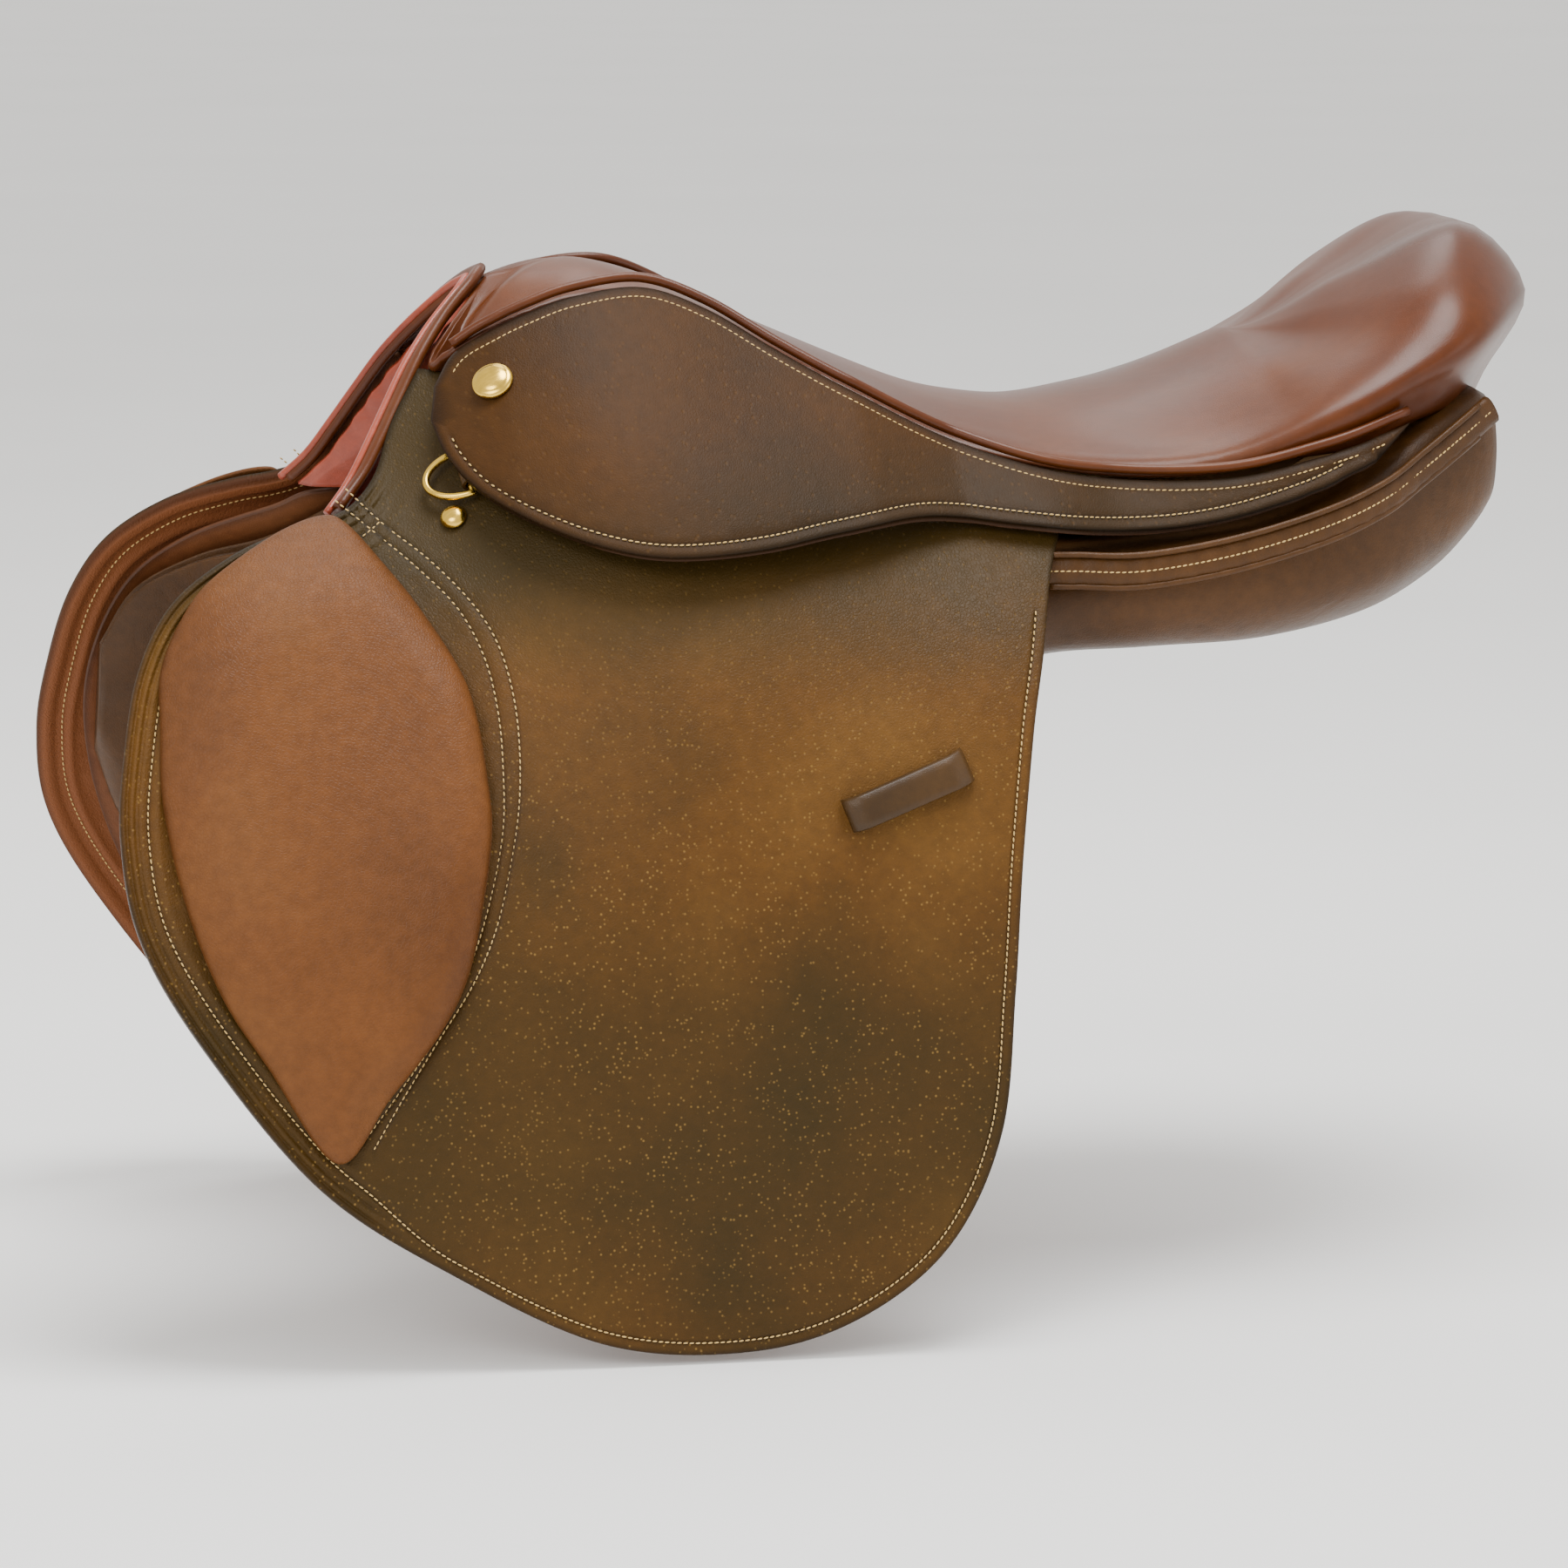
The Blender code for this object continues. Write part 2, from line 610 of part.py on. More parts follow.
def tree_piece(height):
    half = smooth_through(TREE_LINE, 22.0)
    loop = [tuple(row) for row in half] + [(x, -y, w) for x, y, w in half[-2:0:-1]]
    rings = []
    for i, (x, y, share) in enumerate(loop):
        before, after = loop[i - 1], loop[(i + 1) % len(loop)]
        ahead = Vector((after[0] - before[0], after[1] - before[1], 0)).normalized()
        out = Vector((ahead.y, -ahead.x, 0))
        extra = 0.0165 * min(1.0, max(0.0, (-30.0 - x) / 50.0))
        level_share = height(x, y)[1]
        ring = []
        reach = TREE_RAIL_WIDTH * share / 2
        for side, level in ((-1, 0), (-0.55, 0.06), (0.55, 0.06), (1, 0), (1, -0.9), (0, -1), (-1, -0.9)):
            foot = Vector((x * STRETCH[0], y * STRETCH[1], 0)) + out * reach * side
            surface = height(foot.x / STRETCH[0], foot.y / STRETCH[1])[0]
            top = surface - (tree_drop() + 0.0006) / level_share - extra
            ring.append(foot + Vector((0, 0, top + TREE_THICKNESS * level)))
        rings.append(ring)
    finish("tree", mesh_from(loft(rings, closed_loop=True), "tree"), "beech")


def head_path():
    """The head plate's line from the left point over the pommel: points and outward normals."""
    stand = -(STACK_GAP * 3 + HEAD_PLATE_THICKNESS)
    left = []
    for x, z in ((-150, 57), (-144, 70), (-136, 84), (-125, 97), (-117, 105.2)):
        left.append(laid(x, z, stand))
    crown = [
        (stretched(-110, -26, 112), Vector((0, -0.6, 0.8))),
        (stretched(-107, -13, 120.5), Vector((0, -0.25, 0.97))),
        (stretched(-106, 0, 123.5), Vector((0, 0, 1))),
    ]
    half = left + crown
    flip = [(Vector((p.x, -p.y, p.z)), Vector((n.x, -n.y, n.z))) for p, n in half[-2::-1]]
    return half + flip


def head_plate_piece():
    rings = []
    path = head_path()
    for i, (point, normal) in enumerate(path):
        ahead = (path[min(i + 1, len(path) - 1)][0] - path[max(i - 1, 0)][0]).normalized()
        normal = (normal - ahead * normal.dot(ahead)).normalized()
        across = ahead.cross(normal)
        bevelled = [(-1, -0.6), (-0.9, -1), (0.9, -1), (1, -0.6), (1, 0.6), (0.9, 1), (-0.9, 1), (-1, 0.6)]
        half, thick = across * HEAD_PLATE_WIDTH / 2, normal * HEAD_PLATE_THICKNESS / 2
        rings.append([point + half * a + thick * n for a, n in bevelled])
    finish("head_plate", mesh_from(loft(rings), "head_plate"), "steel", smooth=False)


def strip_on_seat(name, slot, stations, depth, half, thickness):
    """A flat strip under the foam, given by points on the seat's plan and its depth under the leather."""
    rings = []
    for i, (x, y) in enumerate(stations):
        before, after = stations[max(i - 1, 0)], stations[min(i + 1, len(stations) - 1)]
        ahead = Vector((after[0] - before[0], after[1] - before[1], 0)).normalized()
        out = Vector((ahead.y, -ahead.x, 0))
        level_share = HEIGHT(x, y)[1]
        ring = []
        for side, level in ((-1, 0), (0, 0), (1, 0), (1, -1), (0, -1), (-1, -1)):
            foot = Vector((x * STRETCH[0], y * STRETCH[1], 0)) + out * half * side
            top = HEIGHT(foot.x / STRETCH[0], foot.y / STRETCH[1])[0] - depth / level_share
            ring.append(foot + Vector((0, 0, top + thickness * level)))
        rings.append(ring)
    finish(name, mesh_from(loft(rings), name), slot, smooth=False)


def web_pieces():
    cover = SEAT_LEATHER + FOAM_THICKNESS + 2.6 * STACK_GAP
    under = cover + WEB_THICKNESS + STACK_GAP
    along = [(x, 0) for x in range(-84, 262, 22)]
    strip_on_seat("seat_web_long", "web", along, cover + 0.0003, 0.021, WEB_THICKNESS)
    across = [(8, y) for y in (-52, -36, -18, 0, 18, 36, 52)]
    strip_on_seat("seat_web_cross", "web", across, under + 0.0006, 0.016, WEB_THICKNESS)


def stirrup_bar(name):
    """The steel bar that carries the stirrup leather: a foot on the head plate's point, then a free arm."""
    foot = FLAP_LEATHER + LAYER_GAP
    free = FLAP_LEATHER + STIRRUP_LEATHER_ROOM
    x0, z0 = BAR_AT
    arm = BAR_LENGTH * 1000
    spots = [(x0 - 21, foot, 1.55), (x0 - 10, foot, 1.6), (x0 + 1, foot, 1.5), (x0 + 9, free, 1.0)]
    spots += [(x0 + 9 + arm * share, free, 1.0) for share in (0.25, 0.5, 0.75, 0.97)]
    spots.append((x0 + 9 + arm, free + 0.0006, 0.8))
    rings = []
    for x, stand, tall in spots:
        half = BAR_HEIGHT * 1000 * tall / 2
        middle = z0 - (x - x0) * 0.05
        bevelled = [(-1, 0.2), (-0.85, 0), (0.85, 0), (1, 0.2), (1, 0.8), (0.85, 1), (-0.85, 1), (-1, 0.8)]
        rings.append([laid(x, middle + level * half, stand + deep * BAR_THICKNESS)[0] for level, deep in bevelled])
    return finish(name, mesh_from(loft(rings), name), "steel", smooth=False)


def bar_tip(past):
    x0, z0 = BAR_AT
    x = x0 + 9 + BAR_LENGTH * 1000 + past
    free = FLAP_LEATHER + STIRRUP_LEATHER_ROOM
    return x, z0 - (x - x0) * 0.05, free


def catch_pivot():
    x, z, free = bar_tip(6.2)
    return laid(x, z, free + BAR_THICKNESS / 2)


def safety_catch(name):
    """A little thumb-piece that turns up about a pin at the bar's open end."""
    pivot, normal = catch_pivot()
    x, z, free = bar_tip(2.2)
    rings = []
    for along, tall in ((0.0, 0.3), (0.16, 0.48), (0.34, 0.48), (0.52, 0.76), (0.85, 0.62), (1.0, 0.4)):
        half = BAR_HEIGHT * 1000 * tall / 2
        spot = x + along * CATCH_LENGTH * 1000
        rings.append([laid(spot, z - along * 1.0 + level * half, free + deep * BAR_THICKNESS)[0]
                      for level, deep in ((-1, 0.15), (1, 0.15), (1, 0.85), (-1, 0.85))])
    return finish(name, mesh_from(loft(rings), name), "steel", smooth=False, pivot=pivot)


def bar_rivet(name, step):
    """A round-headed rivet through the bar's foot."""
    x, z = BAR_AT[0] + step, BAR_AT[1] + 1.0
    stand = FLAP_LEATHER + LAYER_GAP + BAR_THICKNESS + 0.0003
    point, normal = laid(x, z, stand)
    radius = RIVET_HEAD_RADIUS
    profile = [(0, 0.0022), (radius * 0.6, 0.0019), (radius, 0.0007), (radius, 0), (0, 0)]
    return finish(name, mesh_from(turned(profile, point, normal, 12), name), "steel")


# Leather on each side


def closed_outline(points, step):
    return smooth_through(points, step, closed=True)[:, :2]


def flap_pattern():
    edge = smooth_through(FLAP_OUTLINE, 17.0)[:, :2]
    top = smooth_through([FLAP_OUTLINE[-1], *FLAP_TOP_EDGE, FLAP_OUTLINE[0]], 17.0)[1:-1, :2]
    return np.concatenate([edge, top])


def flap_fold(shift):
    (ax, az), (bx, bz) = FLAP_FOLD
    return (ax, az + shift), (bx, bz + shift)


def flap(name):
    outline = cut_along(flap_pattern(), flap_fold(-FOLD_GAP * 500), True)
    bm = draped(outline, 25.0, flat_stand(0.0), flat_stand(FLAP_LEATHER))
    return finish(name, mesh_from(bm, name), "flap_leather", pivot=flap_axis()[0])


def flap_top(name):
    outline = cut_along(flap_pattern(), flap_fold(FOLD_GAP * 500), False)
    bm = draped(outline, 17.0, flat_stand(0.0), flat_stand(FLAP_LEATHER))
    obj = finish(name, mesh_from(bm, name), "flap_leather")
    point, normal = nail_spot()
    bore(obj, name + "_nail_hole", point, normal, NAIL_SHANK + HOLE_CLEARANCE, 0.08)
    return obj


def skirt_pattern():
    upper = smooth_through(SKIRT_UPPER, 14.0)
    lower = smooth_through(SKIRT_LOWER, 14.0)
    return np.concatenate([upper, lower])[:, :2]


def skirt_cut(shift):
    (ax, az), (bx, bz) = SKIRT_FOLD
    return (ax, az + shift), (bx, bz + shift)


def skirt_end_cut(shift):
    (ax, az), (bx, bz) = SKIRT_FOLD[1], SKIRT_FOLD_END
    return (ax + shift, az), (bx + shift, bz)


def skirt_inner(x, z, rim):
    return skirt_stand_off(x)


def skirt_outer(x, z, rim):
    return skirt_stand_off(x) + SKIRT_LEATHER


def skirt(name):
    """The lower part of the skirt, which lifts to reach the stirrup bar."""
    outline = cut_along(skirt_pattern(), skirt_cut(-FOLD_GAP * 500), True)
    outline = cut_along(outline, skirt_end_cut(-FOLD_GAP * 500), True)
    bm = draped(outline, 15.0, skirt_inner, skirt_outer)
    return finish(name, mesh_from(bm, name), "flap_leather", pivot=skirt_axis()[0])


def skirt_top(name):
    """The part of the skirt that stays down: the band under the seat's edge and the tail to the cantle."""
    pattern = skirt_pattern()
    fold, end = skirt_cut(FOLD_GAP * 500), skirt_end_cut(FOLD_GAP * 500)
    (ax, az), (bx, bz) = fold
    share = (end[0][0] - ax) / (bx - ax)
    corner = (end[0][0], az + (bz - az) * share)
    outline = []
    for a, b in zip(pattern, np.roll(pattern, -1, axis=0)):
        sides_a = [line_reach(a, fold, False), line_reach(a, end, False)]
        sides_b = [line_reach(b, fold, False), line_reach(b, end, False)]
        if max(sides_a) >= 0:
            outline.append(tuple(a))
        if (max(sides_a) >= 0) != (max(sides_b) >= 0):
            which = sides_a.index(max(sides_a)) if max(sides_a) >= 0 else sides_b.index(max(sides_b))
            ra, rb = sides_a[which], sides_b[which]
            outline.append(tuple(a + (b - a) * ra / (ra - rb)))
            if max(sides_a) >= 0:
                outline.append(corner)
    bm = draped(np.array(outline), 15.0, skirt_inner, skirt_outer)
    obj = finish(name, mesh_from(bm, name), "flap_leather")
    point, normal = nail_spot()
    bore(obj, name + "_nail_hole", point, normal, NAIL_SHANK + HOLE_CLEARANCE, 0.016)
    return obj


def sweat_flap(name):
    outer = -(STACK_GAP * 3 + GIRTH_STRAP_LEATHER + GUARD_LEATHER + 0.0026)
    bm = draped(closed_outline(SWEAT_FLAP_OUTLINE, 26.0), 27.0, flat_stand(outer - SWEAT_FLAP_LEATHER),
                flat_stand(outer))
    return finish(name, mesh_from(bm, name), "strap_leather")


def knee_pad(name):
    """A teardrop pad, full in the middle and thin at its seam."""
    base = FLAP_LEATHER + STACK_GAP + 0.0002

    def crown(x, z, rim):
        share = min(1.0, rim / 34.0)
        return base + KNEE_PAD_EDGE + (KNEE_PAD_HEIGHT - KNEE_PAD_EDGE) * math.sin(share * math.pi / 2) ** 0.8

    bm = draped(closed_outline(KNEE_PAD_OUTLINE, 20.0), 17.0, flat_stand(base), crown)
    return finish(name, mesh_from(bm, name), "soft_leather", pivot=None)


def keeper(name):
    """The flat loop that takes the stirrup leather's end, tucked into the flap at both ends."""
    cx, cz = KEEPER_AT
    c, s = math.cos(KEEPER_TURN), math.sin(KEEPER_TURN)
    half_length, half_wide = KEEPER_LENGTH * 500, KEEPER_WIDTH * 500
    base = FLAP_LEATHER + LAYER_GAP * 0.6
    rings = []
    arch = [(0, 1.3), (0.4, 1.25), (0.86, 1.0), (0.93, 0.0), (1, 0.0)]
    for share, lift in [(-share, lift) for share, lift in arch[:0:-1]] + arch:
        ring = []
        low = base + lift * 0.0034
        for wide, deep in ((-1, 0), (1, 0), (1, 1), (-1, 1)):
            x = cx + c * share * half_length - s * wide * half_wide
            z = cz + s * share * half_length + c * wide * half_wide
            ring.append(laid(x, z, low + deep * KEEPER_LEATHER)[0])
        rings.append(ring)
    return finish(name, mesh_from(loft(rings), name), "flap_leather")


def strap_pivot(index):
    x = FIRST_STRAP_AT + index * STRAP_PITCH * 1000
    return laid(x, STRAP_TOP, -(STACK_GAP * 2 + GUARD_LEATHER + GIRTH_STRAP_LEATHER / 2))


def girth_strap(name, index):
    """A girth strap, holed down its middle and pointed at its end."""
    inner = -(STACK_GAP * 2 + GUARD_LEATHER + GIRTH_STRAP_LEATHER)
    x = FIRST_STRAP_AT + index * STRAP_PITCH * 1000
    half = STRAP_WIDTH * 500
    top, low = STRAP_TOP + 8.0, STRAP_TOP + 8.0 - STRAP_LENGTH * 1000
    rows = 13
    outline = [(x - half, top - (top - low - 16) * k / rows) for k in range(rows + 1)]
    outline += [(x - half * 0.55, low + 5), (x, low), (x + half * 0.55, low + 5)]
    outline += [(x + half, top - (top - low - 16) * k / rows) for k in range(rows, -1, -1)]
    bm = draped(outline, 30.0, flat_stand(inner), flat_stand(inner + GIRTH_STRAP_LEATHER))
    obj = finish(name, mesh_from(bm, name), "strap_leather", pivot=strap_pivot(index)[0])
    for k in range(STRAP_HOLES):
        z = low + 30.0 + k * STRAP_HOLE_PITCH * 1000
        point, normal = laid(x, z, inner + GIRTH_STRAP_LEATHER / 2)
        bore(obj, f"{name}_hole_{k}", point - obj.location, normal, STRAP_HOLE_RADIUS, 0.012, 6)
        bpy.data.objects[f"{name}_hole_{k}"].location = obj.location
    return obj


def buckle_guard(name):
    """The thin leather that lies over the girth buckles, carried by the middle strap."""
    middle = FIRST_STRAP_AT + STRAP_PITCH * 1000
    half = STRAP_PITCH * 1000 + STRAP_WIDTH * 500 + 5.0
    top = STRAP_TOP - 42.0
    low = top - GUARD_LENGTH * 1000
    outer = -STACK_GAP
    outline = smooth_through([(middle - half, top), (middle - half - 3, (top + low) / 2), (middle - half + 8, low + 6),
                              (middle, low - 4), (middle + half - 8, low + 6), (middle + half + 3, (top + low) / 2),
                              (middle + half, top), (middle, top + 5)], 28.0, closed=True)[:, :2]
    bm = draped(outline, 26.0, flat_stand(outer - GUARD_LEATHER), flat_stand(outer))
    return finish(name, mesh_from(bm, name), "strap_leather", pivot=strap_pivot(1)[0])


# Brass



def nail_spot():
    return laid(*NAIL_AT, skirt_stand_off(NAIL_AT[0]) + SKIRT_LEATHER + 0.0008)


def head_nail(name):
    """A domed brass nail through the skirt and the flap into the head plate."""
    point, normal = nail_spot()
    reach = skirt_stand_off(NAIL_AT[0]) + SKIRT_LEATHER + LAYER_GAP
    r, h = NAIL_RADIUS, NAIL_HEAD_HEIGHT
    profile = [(0, h), (r * 0.45, h * 0.93), (r * 0.78, h * 0.70), (r * 0.96, h * 0.32), (r, 0.0006), (r * 0.97, 0),
               (NAIL_SHANK, 0), (NAIL_SHANK, -reach), (0, -reach)]
    return finish(name, mesh_from(turned(profile, point, normal, 20), name), "brass")


def flap_stud(name):
    point, normal = laid(*STUD_AT, FLAP_LEATHER + LAYER_GAP)
    r, h = STUD_RADIUS, STUD_HEIGHT
    profile = [(0, h), (r * 0.6, h * 0.85), (r * 0.92, h * 0.4), (r, 0), (0, 0)]
    return finish(name, mesh_from(turned(profile, point, normal, 14), name), "brass")


def dee_axes():
    """The dee's hinge point, the direction it hangs in, its hinge line and the outward normal."""
    stand = FLAP_LEATHER + DEE_WIRE_RADIUS + CHAPE_LEATHER + LAYER_GAP * 2
    point, normal = laid(*DEE_AT, stand)
    front = laid(DEE_AT[0] - 12, DEE_AT[1] - 4.0, stand + 0.0008)[0]
    away = (front - point).normalized()
    line = away.cross(normal).normalized()
    return point, away, line, away.cross(line) * (-1 if away.cross(line).dot(normal) < 0 else 1)


def dee(name):
    point, away, line, _ = dee_axes()
    half = DEE_HEIGHT / 2 - DEE_WIRE_RADIUS
    deep = DEE_DEPTH - 2 * DEE_WIRE_RADIUS
    path = [point + line * half * k / 2 for k in (-2, -1, 0, 1, 2)]
    path += [point + line * half * math.cos(t) + away * deep * math.sin(t) ** 0.9
             for t in (math.pi * k / 12 for k in range(1, 12))]
    rings = []
    for i, spot in enumerate(path):
        ahead = (path[(i + 1) % len(path)] - path[i - 1]).normalized()
        side = away.cross(line).normalized()
        wide = ahead.cross(side).normalized()
        rings.append([spot + (wide * math.cos(t) + side * math.sin(t)) * DEE_WIRE_RADIUS
                      for t in (math.tau * k / 8 for k in range(8))])
    return finish(name, mesh_from(loft(rings, closed_loop=True), name), "brass", pivot=point)


def dee_chape(name):
    """The leather tab that wraps the dee's straight side and runs back under the skirt."""
    point, away, line, out = dee_axes()
    half = CHAPE_WIDTH / 2
    inner = DEE_WIRE_RADIUS + LAYER_GAP
    middle = inner + CHAPE_LEATHER / 2
    turns = [math.radians(turn) for turn in (90, 60, 30, 0, -30, -60, -90)]
    band = [(-CHAPE_TAIL, middle * 0.3)]
    band += [(middle * math.cos(turn), middle * math.sin(turn)) for turn in turns]
    band.append((-CHAPE_TAIL * 0.6, -middle))
    rings = []
    for i, (reach, lift) in enumerate(band):
        ahead = Vector(band[min(i + 1, len(band) - 1)]) - Vector(band[max(i - 1, 0)])
        face = Vector((-ahead.y, ahead.x)).normalized() * CHAPE_LEATHER / 2
        corners = []
        for edge, side in ((-half, -1), (half, -1), (half, 1), (-half, 1)):
            across = away * (reach + side * face.x) + out * (lift + side * face.y)
            corners.append(point + across + line * edge)
        rings.append(corners)
    return finish(name, mesh_from(loft(rings), name), "strap_leather")


# Hinge lines


def fold_line(ends, stand, outer):
    """A straight fold through two spots outside a sheet, moved out until the whole cut lies inside it."""
    a, b = (laid(*end, stand(end[0]) + outer)[0] for end in ends)
    along = (b - a).normalized()
    out = Vector((0, -1, 0))
    out = (out - along * out.dot(along)).normalized()
    worst = 0.0
    for k in range(1, 12):
        x = ends[0][0] + (ends[1][0] - ends[0][0]) * k / 12
        z = ends[0][1] + (ends[1][1] - ends[0][1]) * k / 12
        spot = laid(x, z, stand(x) + outer)[0]
        worst = max(worst, (spot - a).dot(out))
    return a + out * (worst + 0.0004), along


def flap_axis():
    return fold_line(FLAP_FOLD, lambda x: 0.0, FLAP_LEATHER)


def skirt_axis():
    """The skirt turns about a line a little above its cut, so that the cut edge swings clear of the bar and the dee."""
    point, along = fold_line(SKIRT_FOLD, skirt_stand_off, SKIRT_LEATHER)
    out = along.cross(Vector((0, 0, 1))).normalized()
    up = out.cross(along).normalized()
    return point + up * (SKIRT_AXIS_RISE if up.z > 0 else -SKIRT_AXIS_RISE), along


# Panels


def gullet_half():
    """Half the channel's width, which narrows and widens with the saddle."""
    return GULLET_HALF_WIDTH * STRETCH[1] * 1000


def panel_sections():
    depth = STACK_GAP * 5.4 + GIRTH_STRAP_LEATHER + GUARD_LEATHER + SWEAT_FLAP_LEATHER + 0.0016
    sections = []
    for x, low, high, gullet_top, gullet_low, share in PANEL_FRONT:
        thick = PANEL_THICKNESS * share
        hem = PANEL_HEM * min(1.0, share + 0.1)
        outer, inner = [], []
        for k in range(5):
            z = low + (high - low) * k / 4
            edge = 1.0 if 0 < k < 4 else 0.35
            fill = (hem + (thick - hem) * (k / 4) ** 0.7) * (edge if gullet_top == 0 or k == 0 else 1.0)
            point, normal = side_point(x, z, -depth - (0.0 if 0 < k < 4 else 0.0016))
            outer.append(point)
            inner.append(point - normal * fill)
        if gullet_top:
            gullet = [(-gullet_half(), gullet_top * STRETCH[2]),
                      (-gullet_half() + 0.001, (gullet_top + gullet_low) / 2 * STRETCH[2])]
            cap = [Vector((outer[-1].x, y, z)) for y, z in gullet]
        else:
            cap = [outer[-1].lerp(inner[-1], 0.33), outer[-1].lerp(inner[-1], 0.67)]
        ring = outer + cap + inner[:0:-1]
        plane = x * STRETCH[0]
        sections.append([Vector((plane + (point.x - plane) * 0.15, point.y, point.z)) for point in ring])
    for x, ring in PANEL_REAR:
        spots = [stretched(x, -y, z) for y, z in ring]
        sections.append([*spots[0:5], *spots[5:7], *spots[7:10], spots[9].lerp(spots[0], 0.5)])
    return sections


def panel(name):
    sections = [np.array([tuple(point) for point in ring]).ravel() for ring in panel_sections()]
    smooth = smooth_through(sections, 0.11)
    rings = [[Vector(row[i:i + 3]) for i in range(0, len(row), 3)] for row in smooth]
    bm = loft(rings)
    return finish(name, mesh_from(bm, name), "seat_leather")


# Trim


def round_cord(name, path, radius, slot, corners=6):
    """A welt: a round cord with closed ends along a path."""
    rings = []
    for i, point in enumerate(path):
        ahead = (path[min(i + 1, len(path) - 1)] - path[max(i - 1, 0)]).normalized()
        side = ahead.cross(Vector((0, 0, 1))).normalized()
        up = side.cross(ahead)
        rings.append([point + side * radius * math.cos(math.tau * k / corners)
                      + up * radius * math.sin(math.tau * k / corners) for k in range(corners)])
    return finish(name, mesh_from(loft(rings), name), slot)


def seat_welt(name):
    """The welt in the seam between the seat and the skirt."""
    rise = SKIRT_LEATHER / 2 + WELT_RADIUS + LAYER_GAP * 0.9
    out = 0.0006 + max(0.0, SEAT_EDGE_STAND - bar_stack_height())
    path = []
    for x, z in smooth_through(SKIRT_UPPER[1:], 18.0)[:, :2]:
        point, normal = laid(x, z, skirt_stand_off(x) + SKIRT_LEATHER * 0.5)
        up = (Vector((0, 0.35, 1)) - normal * normal.dot(Vector((0, 0.35, 1)))).normalized()
        path.append(point + up * rise + normal * out)
    return round_cord(name, path, WELT_RADIUS, "seat_leather")


GUSSET_LINE = [
    (92, 128, 34), (119, 133.5, 34), (157, 135.5, 40), (195, 133, 50), (222, 126, 60), (243, 113, 71), (262, 104.5, 83),
    (277, 95, 92),
]


def panel_welt(name):
    """The stitched, rolled band that closes the panel's outer edge under the seat."""
    spots = smooth_through(GUSSET_LINE, 17.0)
    path = [stretched(x, -y - 4.6, z) for x, y, z in spots]
    across = [Vector((0, 0.18, 1))] * len(path)
    bm = swept(path, across, GUSSET_HEIGHT, GUSSET_DEPTH, 10)
    return finish(name, mesh_from(bm, name), "seat_leather")


ARCH_LINE = [
    (-199, 67, 58), (-189, 58, 69), (-180, 50, 83), (-171, 41, 98), (-161, 31, 114), (-149, 20, 129), (-136, 10, 142),
    (-130, 0, 147),
]


def arch_path(inset, back, drop=0.0):
    """The pommel arch from one side to the other, moved in and back, and down at its crown."""
    half = smooth_through(ARCH_LINE, 15.0)
    moved = []
    for x, y, z in half:
        crown = 1 - y / 60.0
        moved.append((x + back, max(y - inset * min(1.0, y / 22.0), 0.0),
                      z - inset * max(0.35, crown) - drop * max(0.0, crown)))
    half = moved
    return half + [(x, -y, z) for x, y, z in half[-2::-1]]


def pommel_facing():
    """The bound strip round the front of the pommel arch."""
    path = [stretched(x, -y, z) for x, y, z in arch_path(0, 0)]
    across = []
    for point in path:
        across.append(Vector((0.62, 0.0, 0.55)) + Vector((0, point.y * 3.0, 0.3)))
    bm = swept(path, across, FACING_WIDTH, FACING_DEPTH, 8)
    finish("pommel_facing", mesh_from(bm, "pommel_facing"), "seat_leather")


def gullet_lining():
    """The leather that lines the arch from the facing back under the head."""
    rings = []
    steps = ((7.5, 2, 0), (9.0, 5, 17), (10.5, 10, 39), (12.0, 28, 46), (15.5, 44, 48))
    thick = LINING_LEATHER * 1000
    outer = [arch_path(*step) for step in steps]
    inner = [arch_path(inset + thick, back, drop) for inset, back, drop in steps]
    for k in range(len(outer[0])):
        ring = [row[k] for row in outer] + [row[k] for row in reversed(inner)]
        rings.append([stretched(x, -y, z) for x, y, z in ring])
    finish("gullet_lining", mesh_from(loft(rings), "gullet_lining"), "lining_leather")


BRIDGE_LINE = [
    (-84, 83), (-60, 77), (-15, 65), (30, 51), (80, 40), (130, 39), (180, 47), (225, 64), (256, 80), (278, 86),
]


def channel_lining():
    """The leather that bridges the channel between the panels, under the tree."""
    path = [stretched(x, 0, z) for x, z in smooth_through(BRIDGE_LINE, 30.0)]
    wide = 2 * (gullet_half() - LAYER_GAP * 1.5)
    bm = swept(path, [Vector((0, 1, 0))] * len(path), wide, LINING_LEATHER, 8)
    finish("channel_lining", mesh_from(bm, "channel_lining"), "lining_leather")


clear_scene()
HEIGHT = seat_finder()
seat_piece()
tree_piece(HEIGHT)
head_plate_piece()
web_pieces()
both_sides(stirrup_bar, "stirrup_bar")
both_sides(safety_catch, "safety_catch")
for place, offset in (("front", -15.0), ("rear", -5.0)):
    for side, piece in zip(("left", "right"), both_sides(lambda stem: bar_rivet(stem, offset), "rivet")):
        piece.name = f"bar_rivet_{place}_{side}"
pommel_facing()
gullet_lining()
channel_lining()
for maker, stem in (
    (panel, "panel"), (panel_welt, "panel_welt"), (sweat_flap, "sweat_flap"), (flap_top, "flap_top"), (flap, "flap"),
    (knee_pad, "knee_pad"), (keeper, "keeper"), (skirt_top, "skirt_top"), (skirt, "skirt"), (seat_welt, "seat_welt"),
    (buckle_guard, "buckle_guard"), (head_nail, "head_nail"), (flap_stud, "flap_stud"), (dee, "dee"),
    (dee_chape, "dee_chape"),
):
    both_sides(maker, stem)
for number in range(3):
    both_sides(lambda stem: girth_strap(stem, number), f"girth_strap_{number + 1}")
bpy.context.view_layer.update()
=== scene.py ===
import math

import bmesh
import bpy
import numpy as np
from mathutils import Matrix, Vector
from mathutils.geometry import delaunay_2d_cdt


